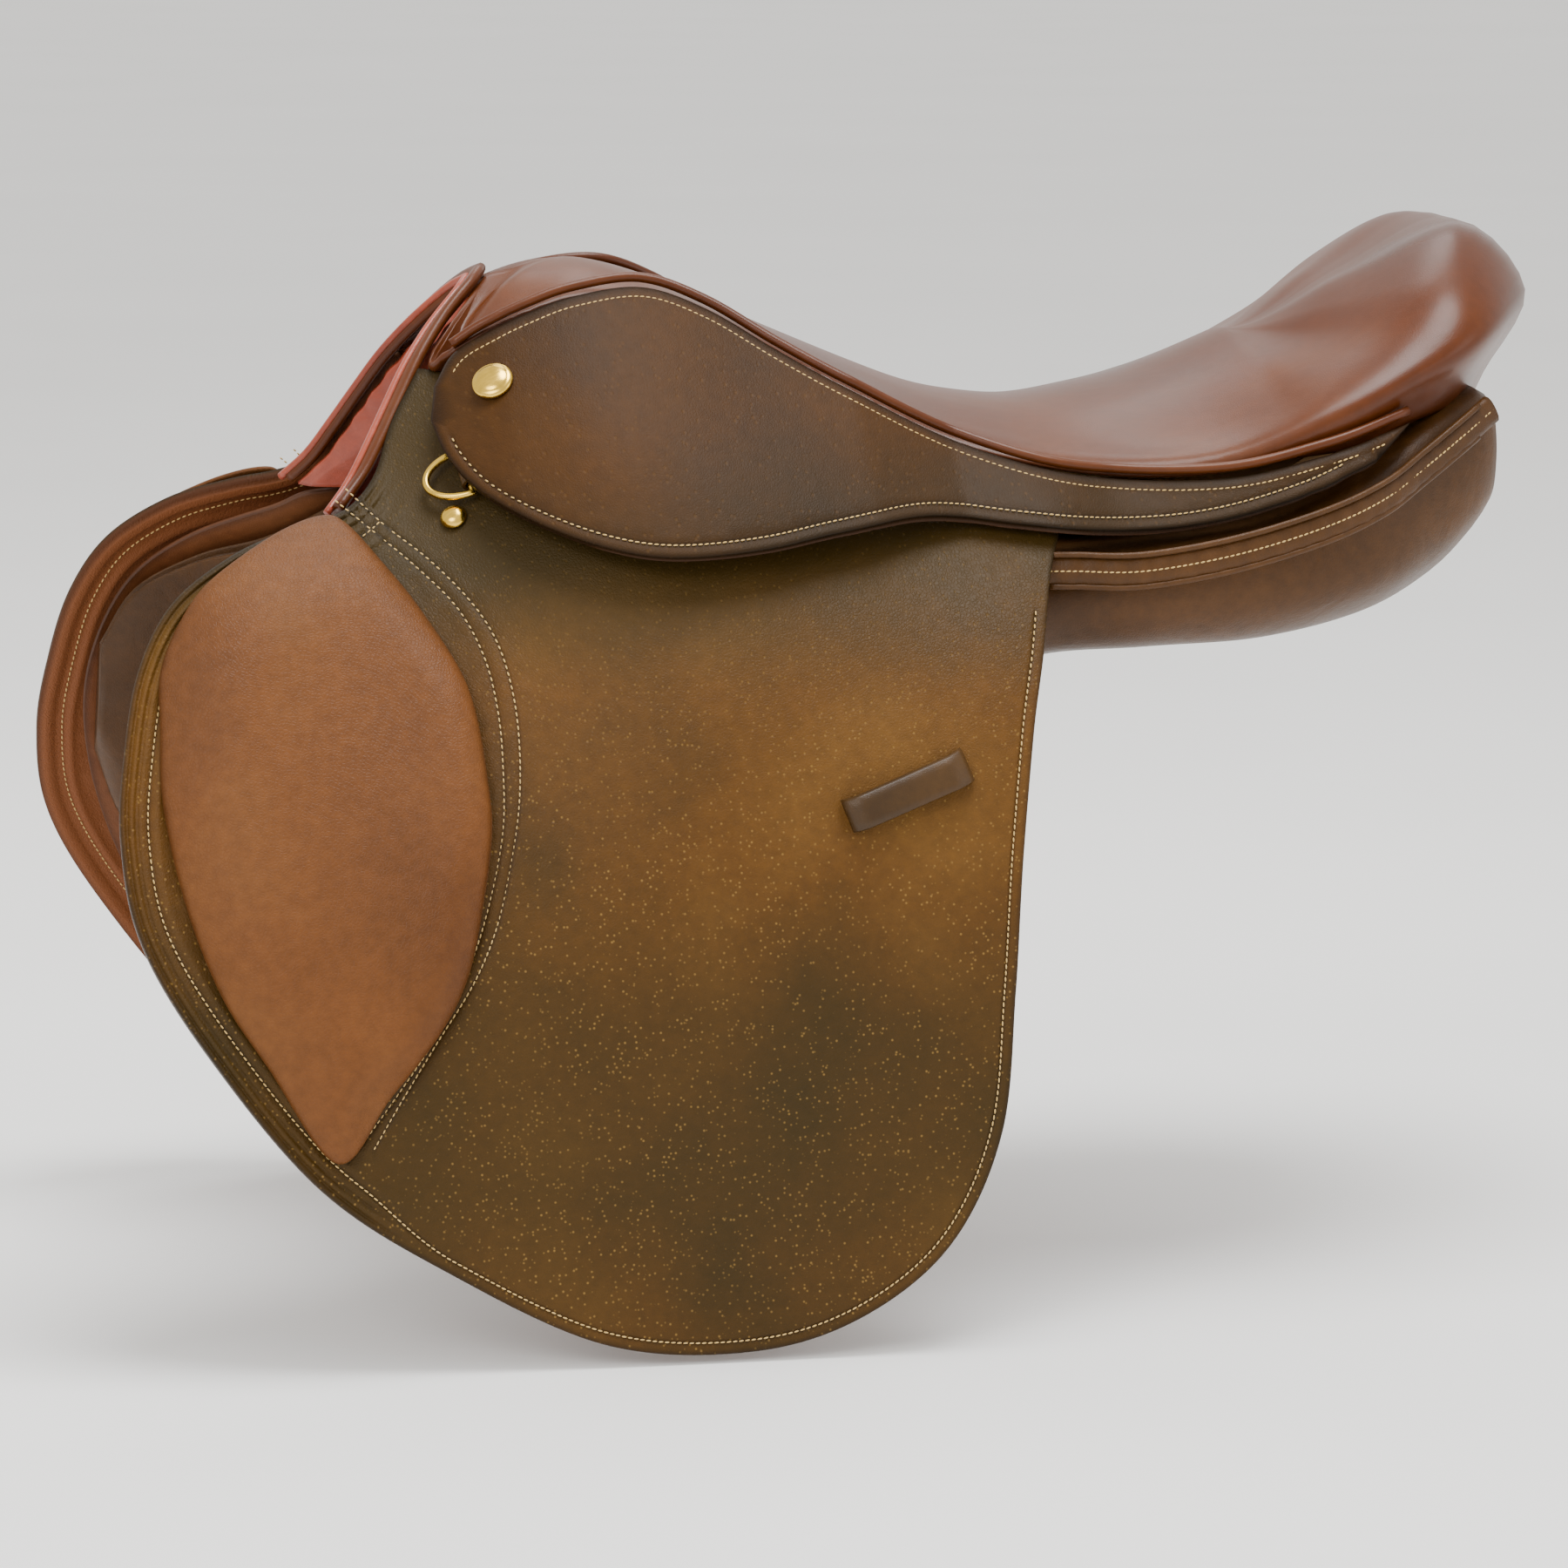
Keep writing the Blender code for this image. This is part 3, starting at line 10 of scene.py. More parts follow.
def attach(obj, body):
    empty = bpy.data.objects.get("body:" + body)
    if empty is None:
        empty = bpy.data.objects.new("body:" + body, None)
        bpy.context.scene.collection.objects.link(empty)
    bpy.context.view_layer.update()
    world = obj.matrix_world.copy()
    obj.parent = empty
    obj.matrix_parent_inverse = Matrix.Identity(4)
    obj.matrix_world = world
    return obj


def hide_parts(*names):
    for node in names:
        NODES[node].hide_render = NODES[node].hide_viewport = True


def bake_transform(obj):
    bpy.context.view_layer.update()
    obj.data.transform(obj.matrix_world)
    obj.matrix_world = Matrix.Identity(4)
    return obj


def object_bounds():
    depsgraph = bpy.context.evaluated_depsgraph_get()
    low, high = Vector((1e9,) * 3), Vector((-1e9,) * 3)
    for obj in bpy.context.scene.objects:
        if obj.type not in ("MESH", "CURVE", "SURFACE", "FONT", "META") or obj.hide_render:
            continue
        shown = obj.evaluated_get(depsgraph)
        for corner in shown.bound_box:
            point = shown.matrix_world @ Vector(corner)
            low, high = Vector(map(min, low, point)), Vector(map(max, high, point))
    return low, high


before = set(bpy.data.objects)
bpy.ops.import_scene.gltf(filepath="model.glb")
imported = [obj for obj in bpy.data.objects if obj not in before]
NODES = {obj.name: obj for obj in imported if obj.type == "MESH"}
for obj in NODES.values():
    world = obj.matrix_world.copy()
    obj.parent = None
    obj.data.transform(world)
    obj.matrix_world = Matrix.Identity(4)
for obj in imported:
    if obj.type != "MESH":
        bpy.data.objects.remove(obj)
CAD_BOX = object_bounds()
MM = 0.001

# Leather and thread sizes, and the gaps between the layers, in metres
FLAP_LEATHER = 0.0040
SKIRT_LEATHER = 0.0038
SWEAT_FLAP_LEATHER = 0.0026
SEAT_LEATHER = 0.0020
LINING_LEATHER = 0.0022
GIRTH_STRAP_LEATHER = 0.0036
GUARD_LEATHER = 0.0018
STACK_GAP = 0.0014
BAR_THICKNESS = 0.0042
STIRRUP_LEATHER_ROOM = 0.0074
THREAD_RADIUS = 0.00036
STITCH_LENGTH = 0.0020
# In millimetres, as the patterns are
STITCH_PITCH = 2.5
BURNISH_REACH = 2.6

# The saddle's side form: (fore-aft, height, half width) of the flap's inner face, in millimetres
SIDE_FORM = np.array([
    (-124, 149, 10), (-160, 115, 32), (-183, 73, 61), (-206, 57, 81), (-248, 45, 99), (-286, -2, 124),
    (-298, -49, 147), (-272, -138, 185), (-215, -195, 197), (-140, -248, 203), (-52, -264, 205),
    (30, -210, 204), (54, -100, 193), (66, -10, 168), (85, 46, 124), (-100, 126, 46), (-100, 70, 108),
    (-100, 0, 156), (-100, -100, 192), (-190, -20, 139), (-30, 118, 48), (-10, 60, 110), (50, 80, 80),
    (50, 52, 112), (110, 56, 104), (158, 57, 112), (155, 42, 124), (212, 72, 114), (243, 82, 106), (205, 54, 124),
], float)

FLAP_OUTLINE = [
    (-161, 112), (-174, 92), (-183, 73), (-194, 62), (-205, 57.5), (-221, 54), (-247, 45),
    (-272, 28), (-287, 4), (-295, -26), (-299, -60), (-293, -99), (-268, -143), (-227, -194), (-178, -228),
    (-117, -259), (-60, -265), (-15, -254), (23, -226), (45, -182), (52, -125), (57, -70), (64, -25), (72, 5),
    (80, 33), (88, 50),
]
FLAP_TOP_EDGE = [(70, 54), (40, 62), (10, 72), (-40, 90), (-90, 103), (-132, 110)]
SKIRT_UPPER = [
    (-158, 107), (-150, 119), (-138, 127), (-121, 135), (-100, 142), (-71, 145), (-45, 136), (-17, 119),
    (10, 104), (55, 82), (105, 69), (158, 68), (200, 77), (238, 89),
]
SKIRT_LOWER = [
    (221, 75), (190, 62), (152, 52), (115, 49), (70, 53), (30, 57), (-7, 53), (-40, 48), (-75, 46), (-100, 49),
    (-125, 57), (-146, 68), (-157, 81), (-161, 94),
]
KNEE_PAD_OUTLINE = [
    (-209, 59), (-229, 53), (-254, 39), (-268, 25), (-279, 4), (-281, -18), (-282, -45), (-276, -82),
    (-264, -117), (-247, -145), (-221, -183), (-199, -158), (-179, -134), (-167, -112), (-160, -85), (-155, -58),
    (-155, -38), (-159, -4), (-173, 23), (-186, 41), (-199, 56),
]
KNEE_SEAM_INNER = [
    (-201, 63), (-188, 52), (-173, 39), (-159, 24), (-151, 6), (-148, -14), (-148, -34), (-150, -58),
    (-157, -85), (-166, -109), (-179, -134), (-195, -156), (-210, -175), (-217, -183),
]
KNEE_SEAM_OUTER = [
    (-196, 67), (-183, 54), (-168, 42), (-154, 27), (-146, 13), (-142, -4), (-141, -24), (-143, -48),
    (-148, -71), (-155, -95), (-165, -116), (-180, -138), (-194, -159), (-206, -178),
]
SWEAT_FLAP_OUTLINE = [
    (-184, 52), (-206, 44), (-240, 30), (-266, 8), (-280, -30), (-278, -72), (-262, -120), (-232, -172),
    (-196, -202), (-140, -226), (-70, -232), (-16, -216), (18, -176), (34, -110), (40, -40), (52, 8), (62, 30),
    (10, 40), (-60, 46), (-120, 50),
]
FLAP_FOLD = ((-216.0, 56.0), (90.0, 27.0))
SKIRT_FOLD = ((-166.0, 100.0), (75.0, 52.0))
NAIL_AT = (-137.0, 110.0)
STUD_AT = (-156.0, 57.5)
DEE_AT = (-149.0, 75.0)
KEEPER_CORNERS = [(-19, -47), (-11, -61), (39, -43), (31, -28)]

# The seat's edge, from the middle of the pommel round one side to the middle of the cantle:
# (fore-aft, half width, height, rise to the rim, rim's inset, bulge past the edge)
SEAT_EDGE = [
    (-124, 0, 144, 5, 9, 2), (-135, 16, 135, 5, 9, 2), (-147, 31, 123, 5, 8, 2), (-156, 40.5, 111, 6, 8, 1),
    (-150, 52, 118, 6, 8, -1), (-124, 52, 132, 5, 10, -2), (-92, 47, 141, 5, 10, -3), (-53, 45, 136, 4, 10, -3),
    (-17, 52, 118, 5, 12, -4), (15, 65, 101, 6, 14, -5), (55, 83, 81, 8, 18, -6), (105, 99, 70, 10, 22, -6),
    (158, 110, 70, 13, 22, -3), (205, 115, 83, 21, 20, 1), (240, 108, 97, 25, 18, 5), (266, 93, 103, 40, 14, 11),
    (287, 56, 105, 56, 12, 15), (297, 26, 100, 64, 12, 17), (299, 0, 97, 67, 12, 18),
]
SEAT_RIDGE = [
    (-124, 147), (-105, 151), (-88, 153), (-61, 146), (-24, 130), (23, 110), (52, 99), (75, 94), (100, 92),
    (125, 96), (153, 103), (192, 119), (230, 137),
]

# Panel sections: fore-aft, bottom and top heights outside, gullet top and bottom, share of full thickness
PANEL_FRONT = [
    (-276, -60, -10, 0, 0, 0.42), (-262, -95, 14, 0, 0, 0.55), (-235, -122, 30, 0, 0, 0.72),
    (-205, -135, 41, 0, 0, 0.90), (-172, -132, 62, 0, 0, 1.0), (-140, -118, 82, 0, 0, 1.0),
    (-105, -92, 88, 84, 62, 1.0), (-60, -62, 74, 80, 54, 1.0), (-15, -34, 52, 68, 42, 1.0),
    (30, -12, 32, 54, 32, 1.05),
]
PANEL_REAR = [
    (80, [(92, -6), (114, -2), (125, 12), (122, 28), (108, 36), (60, 42), (33, 43), (32, 32), (38, 21), (66, 8)]),
    (130, [(88, -3), (112, 0), (130, 13), (131, 32), (121, 41), (62, 43), (33, 42), (31, 31), (37, 21), (62, 9)]),
    (180, [(84, -1), (108, 2), (127, 16), (129, 37), (120, 50), (62, 53), (34, 50), (32, 38), (38, 25), (60, 11)]),
    (225, [(80, 8), (100, 11), (119, 26), (121, 52), (112, 72), (62, 75), (36, 68), (34, 52), (40, 35), (58, 19)]),
    (256, [(76, 22), (91, 26), (105, 40), (107, 67), (98, 90), (60, 92), (38, 84), (36, 66), (42, 46), (56, 32)]),
    (276, [(70, 38), (82, 42), (93, 54), (95, 77), (87, 97), (56, 98), (40, 90), (38, 74), (43, 57), (54, 45)]),
    (284, [(68, 48), (77, 51), (85, 60), (87, 77), (80, 91), (58, 92), (47, 87), (44, 76), (48, 64), (56, 54)]),
]
GUSSET_LINE = [
    (79, 125.4, 34), (92, 128, 34), (119, 133.5, 34), (157, 135.5, 40), (195, 133, 50), (222, 126, 60),
    (243, 113, 71), (262, 104.5, 83), (277, 95, 92),
]
ARCH_LINE = [
    (-199, 67, 58), (-189, 58, 69), (-180, 50, 83), (-171, 41, 98), (-161, 31, 114), (-149, 20, 129),
    (-136, 10, 142), (-130, 0, 147),
]
BRIDGE_LINE = [
    (-84, 83), (-60, 77), (-15, 65), (30, 51), (80, 40), (130, 39), (180, 47), (225, 64), (256, 80), (278, 86),
]


# Curves


def spline(a, b, c, d, t):
    """The Catmull-Rom curve from b to c, with a before them and d after, at shares t of the way."""
    return 0.5 * (2 * b + (c - a) * t + (2 * a - 5 * b + 4 * c - d) * t**2 + (3 * b - a - 3 * c + d) * t**3)


def unit(rows):
    return rows / np.linalg.norm(rows, axis=-1, keepdims=True)


def smooth_through(points, step, closed=False):
    """A Catmull-Rom curve through the points, cut into pieces of about the step."""
    points = [np.array(point, float) for point in points]
    count = len(points)
    curve = []
    for i in range(count if closed else count - 1):
        if closed:
            a, b, c, d = (points[(i + k) % count] for k in (-1, 0, 1, 2))
        else:
            b, c = points[i], points[i + 1]
            a = points[i - 1] if i else 2 * b - c
            d = points[i + 2] if i + 2 < count else 2 * c - b
        pieces = max(1, round(float(np.linalg.norm(c - b)) / step))
        for k in range(pieces):
            curve.append(spline(a, b, c, d, k / pieces))
    if not closed:
        curve.append(points[-1])
    return np.array(curve)


def evenly(line, pitch):
    """Points at an even pitch along an open line."""
    line = np.asarray(line, float)
    run = np.concatenate([[0.0], np.cumsum(np.linalg.norm(np.diff(line, axis=0), axis=1))])
    at = np.linspace(0.0, run[-1], max(2, round(run[-1] / pitch) + 1))
    return np.stack([np.interp(at, run, line[:, k]) for k in range(line.shape[1])], axis=1)


def set_in(line, inset, closed=False):
    """The line moved to its left by the inset, a number or one for each point."""
    line = np.asarray(line, float)
    if closed:
        ahead = np.roll(line, -1, 0) - np.roll(line, 1, 0)
    else:
        ahead = np.gradient(line, axis=0)
    left = np.stack((-ahead[:, 1], ahead[:, 0]), 1)
    left /= np.maximum(np.linalg.norm(left, axis=1), 1e-9)[:, None]
    return line + left * np.broadcast_to(np.asarray(inset, float), len(line))[:, None]


def distance_to(points, line, closed=False):
    """Each pattern point's distance to a line, and where along it the nearest spot is, counted in its points."""
    a = np.asarray(line, float)[:, :2]
    b = np.roll(a, -1, 0)
    if not closed:
        a, b = a[:-1], b[:-1]
    along = b - a
    square = np.maximum((along**2).sum(1), 1e-9)
    spot = points[:, None]
    share = np.clip(((spot - a) * along).sum(2) / square, 0, 1)
    gap = np.linalg.norm(a + along * share[..., None] - spot, axis=2)
    best = gap.argmin(1)
    rows = np.arange(len(best))
    return gap[rows, best], best + share[rows, best]


def within(points, outline):
    """Which pattern points lie inside the outline."""
    a, b = outline, np.roll(outline, -1, 0)
    rise = np.where(np.abs(b[:, 1] - a[:, 1]) < 1e-12, 1e-12, b[:, 1] - a[:, 1])
    x, z = points[:, 0, None], points[:, 1, None]
    crosses = (a[:, 1] > z) != (b[:, 1] > z)
    ahead = x < (b[:, 0] - a[:, 0]) * (z - a[:, 1]) / rise + a[:, 0]
    return (crosses & ahead).sum(1) % 2 == 1


def hump(value, low, high):
    """A smooth rounded rise from 0 at low and high to 1 between them."""
    share = np.clip((value - low) / (high - low), 0, 1)
    return np.sin(share * math.pi)


def ease(value, low, high):
    share = np.clip((value - low) / (high - low), 0, 1)
    return share * share * (3 - 2 * share)


# The side form


def plate_bend(distance):
    return np.where(distance > 1e-9, distance**2 * np.log(np.maximum(distance, 1e-9)), 0.0)


def plate_weights(points):
    flat = points[:, :2] / 100.0
    count = len(points)
    system = np.zeros((count + 3, count + 3))
    system[:count, :count] = plate_bend(np.linalg.norm(flat[:, None] - flat[None], axis=2)) + 0.004 * np.eye(count)
    system[:count, count] = 1.0
    system[:count, count + 1:] = flat
    system[count:, :count] = system[:count, count:].T
    return np.linalg.solve(system, np.concatenate([points[:, 2], np.zeros(3)]))


FORM_WEIGHTS = plate_weights(SIDE_FORM)


def half_width(points):
    """The thin plate of least bending through the side form's points."""
    flat = points / 100.0
    reach = np.linalg.norm(flat[:, None] - SIDE_FORM[None, :, :2] / 100.0, axis=2)
    count = len(SIDE_FORM)
    return plate_bend(reach) @ FORM_WEIGHTS[:count] + FORM_WEIGHTS[count] + flat @ FORM_WEIGHTS[count + 1:]


def on_form(points, off):
    """Points that stand off the left side form at pattern points, in metres, and the form's normals."""
    step_x, step_z = np.array((1.0, 0.0)), np.array((0.0, 1.0))
    width = half_width(points)
    slope_x = (half_width(points + step_x) - half_width(points - step_x)) / 2
    slope_z = (half_width(points + step_z) - half_width(points - step_z)) / 2
    normal = unit(np.stack((-slope_x, -np.ones(len(points)), -slope_z), 1))
    base = np.stack((points[:, 0], -width, points[:, 1]), 1) * MM
    return base + normal * np.broadcast_to(off, len(points))[:, None], normal


def form_spots(points, off):
    """The pattern points whose stood-off points are seen at the given ones from the side."""
    guess = points.copy()
    for _ in range(14):
        seen = on_form(guess, off)[0] / MM
        guess += 0.7 * np.stack((points[:, 0] - seen[:, 0], points[:, 1] - seen[:, 2]), 1)
    return guess


def laid(points, off):
    points = np.atleast_2d(np.asarray(points, float))
    return on_form(form_spots(points, off), off)


def skirt_stand(x):
    """The skirt stands further off the flap where the stirrup bar lies."""
    bump = np.maximum(0.0, 1.0 - ((x + 62.0) / 112.0) ** 2)
    bar_stack = FLAP_LEATHER + STIRRUP_LEATHER_ROOM + BAR_THICKNESS + STACK_GAP
    close = FLAP_LEATHER + 0.0030 + STACK_GAP
    return close + (bar_stack - close) * np.minimum(1.0, 1.7 * bump)


# Meshes


def placed(name, data):
    """An object of the data, linked into the scene."""
    obj = bpy.data.objects.new(name, data)
    bpy.context.scene.collection.objects.link(obj)
    return obj


def piece_from(name, verts, faces, material, smooth=True):
    mesh = bpy.data.meshes.new(name)
    mesh.from_pydata(np.asarray(verts).tolist(), [], faces)
    mesh.materials.append(material)
    mesh.polygons.foreach_set("use_smooth", [smooth] * len(mesh.polygons))
    mesh.update()
    return placed(name, mesh)


def from_bmesh(bm, name, material):
    mesh = bpy.data.meshes.new(name)
    bm.to_mesh(mesh)
    bm.free()
    mesh.materials.append(material)
    mesh.polygons.foreach_set("use_smooth", [True] * len(mesh.polygons))
    return placed(name, mesh)


def outward(bm):
    bmesh.ops.remove_doubles(bm, verts=bm.verts, dist=2e-5)
    bmesh.ops.dissolve_degenerate(bm, edges=bm.edges, dist=1e-6)
    bmesh.ops.recalc_face_normals(bm, faces=bm.faces)
    if bm.calc_volume(signed=True) < 0:
        bmesh.ops.reverse_faces(bm, faces=bm.faces)
    return bm


def other_side(obj, name):
    """The same piece for the right side."""
    mesh = obj.data.copy()
    mesh.transform(Matrix.Diagonal((1, -1, 1, 1)))
    mesh.flip_normals()
    twin = placed(name, mesh)
    for modifier in obj.modifiers:
        copy = twin.modifiers.new(modifier.name, modifier.type)
        copy.levels = copy.render_levels = modifier.levels
    return twin


def set_attribute(mesh, name, values):
    layer = mesh.attributes.new(name, "FLOAT", "POINT")
    layer.data.foreach_set("value", np.asarray(values, np.float32))


def pattern_uv(mesh, points):
    """The leather's own flat pattern as its UV map, in metres."""
    index = np.empty(len(mesh.loops), np.int32)
    mesh.loops.foreach_get("vertex_index", index)
    layer = mesh.uv_layers.new(name="pattern")
    layer.data.foreach_set("uv", (points[index] * MM).astype(np.float32).ravel())


def sheet_fill(outline, insets, cell, lines):
    """Pattern points of a sheet: its outline, rows set in from it, rows along its stitch lines and an even fill."""
    area = (outline[:, 0] * np.roll(outline[:, 1], -1) - outline[:, 1] * np.roll(outline[:, 0], -1)).sum()
    side = 1 if area > 0 else -1
    extra = [set_in(outline, side * inset, True) for inset in insets]
    rows = []
    for line in lines:
        rows += [set_in(evenly(line, 2.2), gap) for gap in (-1.3, -0.6, 0.0, 0.6, 1.3)]
    for inset, ring in zip(insets, extra):
        gap, _ = distance_to(ring, outline, True)
        rows.append(ring[within(ring, outline) & (gap > inset - 0.06)])
    low, high = outline.min(0), outline.max(0)
    z = np.arange(low[1] + cell / 2, high[1], cell * 0.87)
    x = np.arange(low[0] + cell / 2, high[0], cell)
    grid = np.stack(np.meshgrid(x, z), 2)
    grid[1::2, :, 0] += cell / 2
    grid = grid.reshape(-1, 2)
    clear = distance_to(grid, outline, True)[0] > max(insets) + cell * 0.5
    for line in lines:
        clear &= distance_to(grid, line)[0] > 1.3 + cell * 0.35
    fill = np.concatenate(rows + [grid[clear]])
    fill = fill[within(fill, outline)]
    fill = fill[distance_to(fill, outline, True)[0] > 0.3]
    _, first = np.unique(np.round(fill / 0.42), axis=0, return_index=True)
    return np.concatenate([outline, fill[np.sort(first)]])


def sheet_mesh(name, outline, material, base, thick, relief=None, inner=None, insets=(0.45, 1.2), cell=4.6, lines=(),
               corner=1.2, grooves=()):
    """A leather sheet on the left side form, with eased edges, and what relief(points, rim, where) adds to its face."""
    points = sheet_fill(outline, insets, cell, lines)
    edges = [(i, (i + 1) % len(outline)) for i in range(len(outline))]
    spots, _, faces, *_ = delaunay_2d_cdt([Vector(point) for point in points], edges, [], 1, 1e-4)
    points = np.array([tuple(spot) for spot in spots])
    rim, where = distance_to(points, outline, True)
    low = np.broadcast_to(base(points[:, 0]) if callable(base) else base, len(points))
    top = low + (thick(points) if callable(thick) else thick)
    short = np.clip(1 - rim / corner, 0, 1)
    top = top - corner * MM * (1 - np.sqrt(1 - short**2))
    if relief:
        top = top + relief(points, rim, where) * MM
    # The groove mask sinks the face half a millimetre along the stitch lines. It is also stored so the material can
    # paint shade into the groove.
    groove = np.zeros(len(points))
    for line in grooves:
        groove = np.maximum(groove, np.exp(-(distance_to(points, line)[0] / 0.75) ** 2))
    top = top - groove * 0.0005
    top = np.maximum(top, low + 0.0006)
    spot = form_spots(points, top)
    if inner:
        low = low - inner(points, rim, where) * MM
    count = len(points)
    verts = np.concatenate([on_form(spot, top)[0], on_form(spot, low)[0]])
    tri = np.array(faces)
    a, b, c = (verts[tri[:, k]] for k in range(3))
    if np.cross(b - a, c - a)[:, 1].sum() > 0:
        tri = tri[:, ::-1]
    ways = {(int(f[i]), int(f[(i + 1) % 3])) for f in tri for i in range(3)}
    rims = [(i, j) for i, j in ways if (j, i) not in ways]
    shell = tri.tolist() + (tri[:, ::-1] + count).tolist() + [[j, i, i + count, j + count] for i, j in sorted(rims)]
    obj = piece_from(name, verts, shell, material)
    pattern_uv(obj.data, np.concatenate([points, points]))
    set_attribute(obj.data, "burnish", np.tile(np.clip(1 - rim / BURNISH_REACH, 0, 1), 2))
    set_attribute(obj.data, "groove", np.concatenate([groove, np.zeros(count)]))
    set_attribute(obj.data, "back", np.concatenate([np.zeros(count), np.ones(count)]))
    return obj


def tube(name, path, radius, material, corners):
    """A round cord along a path of points in metres."""
    path = np.asarray(path, float)
    ahead = unit(np.gradient(path, axis=0))
    side = np.cross(ahead, (0.0, 0.0, 1.0))
    side /= np.maximum(np.linalg.norm(side, axis=1), 1e-9)[:, None]
    up = np.cross(side, ahead)
    turn = np.arange(corners) * math.tau / corners
    rings = path[:, None] + radius * (side[:, None] * np.cos(turn)[:, None] + up[:, None] * np.sin(turn)[:, None])
    return skin(name, rings, material)


def skin(name, rings, material, closed_loop=False):
    """A closed skin over rows of matching points."""
    rings = np.asarray(rings, float)
    count, wide = rings.shape[:2]
    faces = []
    for i in range(count if closed_loop else count - 1):
        a, b = i * wide, ((i + 1) % count) * wide
        faces += [[a + k, a + (k + 1) % wide, b + (k + 1) % wide, b + k] for k in range(wide)]
    if not closed_loop:
        faces += [list(range(wide)), list(range((count - 1) * wide, count * wide))[::-1]]
    bm = bmesh.new()
    spots = [bm.verts.new(point) for point in rings.reshape(-1, 3)]
    for face in faces:
        bm.faces.new([spots[i] for i in face])
    return from_bmesh(outward(bm), name, material)


def rounded_strip(path, across, width, depth, corners=16, power=2.6):
    """Rings of a strip with rounded edges along a path. Across gives each point's direction of width."""
    path = np.asarray(path, float)
    ahead = unit(np.gradient(path, axis=0))
    wide = unit(across - ahead * (across * ahead).sum(1)[:, None])
    deep = np.cross(ahead, wide)
    turn = (np.arange(corners) + 0.5) * math.tau / corners
    c, s = np.cos(turn), np.sin(turn)
    reach = (np.abs(c) ** power + np.abs(s) ** power) ** (-1 / power)
    return (path[:, None] + wide[:, None] * (c * reach * width / 2)[:, None]
            + deep[:, None] * (s * reach * depth / 2)[:, None])


def turned(name, profile, point, axis, material, sides=40):
    """A round piece: (radius, height) pairs spun about the axis, with the first and last on it."""
    turn = Vector((0, 0, 1)).rotation_difference(Vector(axis)).to_matrix()
    bm = bmesh.new()
    verts = [bm.verts.new((radius, 0, height)) for radius, height in profile]
    for a, b in zip(verts, verts[1:]):
        bm.edges.new((a, b))
    bmesh.ops.spin(bm, geom=bm.verts[:] + bm.edges[:], cent=(0, 0, 0), axis=(0, 0, 1), angle=math.tau,
                   steps=sides, use_merge=True)
    outward(bm)
    bmesh.ops.transform(bm, matrix=Matrix.Translation(point) @ turn.to_4x4(), verts=bm.verts)
    return from_bmesh(bm, name, material)


# Materials


def linear(code):
    """An sRGB hex colour as the linear values that the shaders take."""
    parts = [int(code[i:i + 2], 16) / 255 for i in (1, 3, 5)]
    return (*[c / 12.92 if c <= 0.04045 else ((c + 0.055) / 1.055) ** 2.4 for c in parts], 1.0)


def feed(tree, node, links):
    """Links each named input from a socket, or from the first output in use of another node."""
    for name, source in links.items():
        if isinstance(source, bpy.types.Node):
            source = next(out for out in source.outputs if out.enabled)
        tree.links.new(source, node.inputs[name])


def add(tree, kind, links=None, values=None, stops=None, **settings):
    """A node with its settings, its links from others, its values and, on a ramp, its stops."""
    node = tree.nodes.new(kind)
    for key, value in settings.items():
        setattr(node, key, value)
    for name, value in (values or {}).items():
        node.inputs[name].default_value = value
    feed(tree, node, links or {})
    if stops:
        ramp = node.color_ramp.elements
        while len(ramp) < len(stops):
            ramp.new(0.5)
        for item, (place, value) in zip(ramp, stops):
            item.position = place
            item.color = value if isinstance(value, tuple) else (value, value, value, 1.0)
    return node


def new_material(name, **values):
    material = bpy.data.materials.new(name)
    material.use_nodes = True
    shader = material.node_tree.nodes["Principled BSDF"]
    for key, value in values.items():
        shader.inputs[key.replace("_", " ")].default_value = value
    return material, material.node_tree, shader


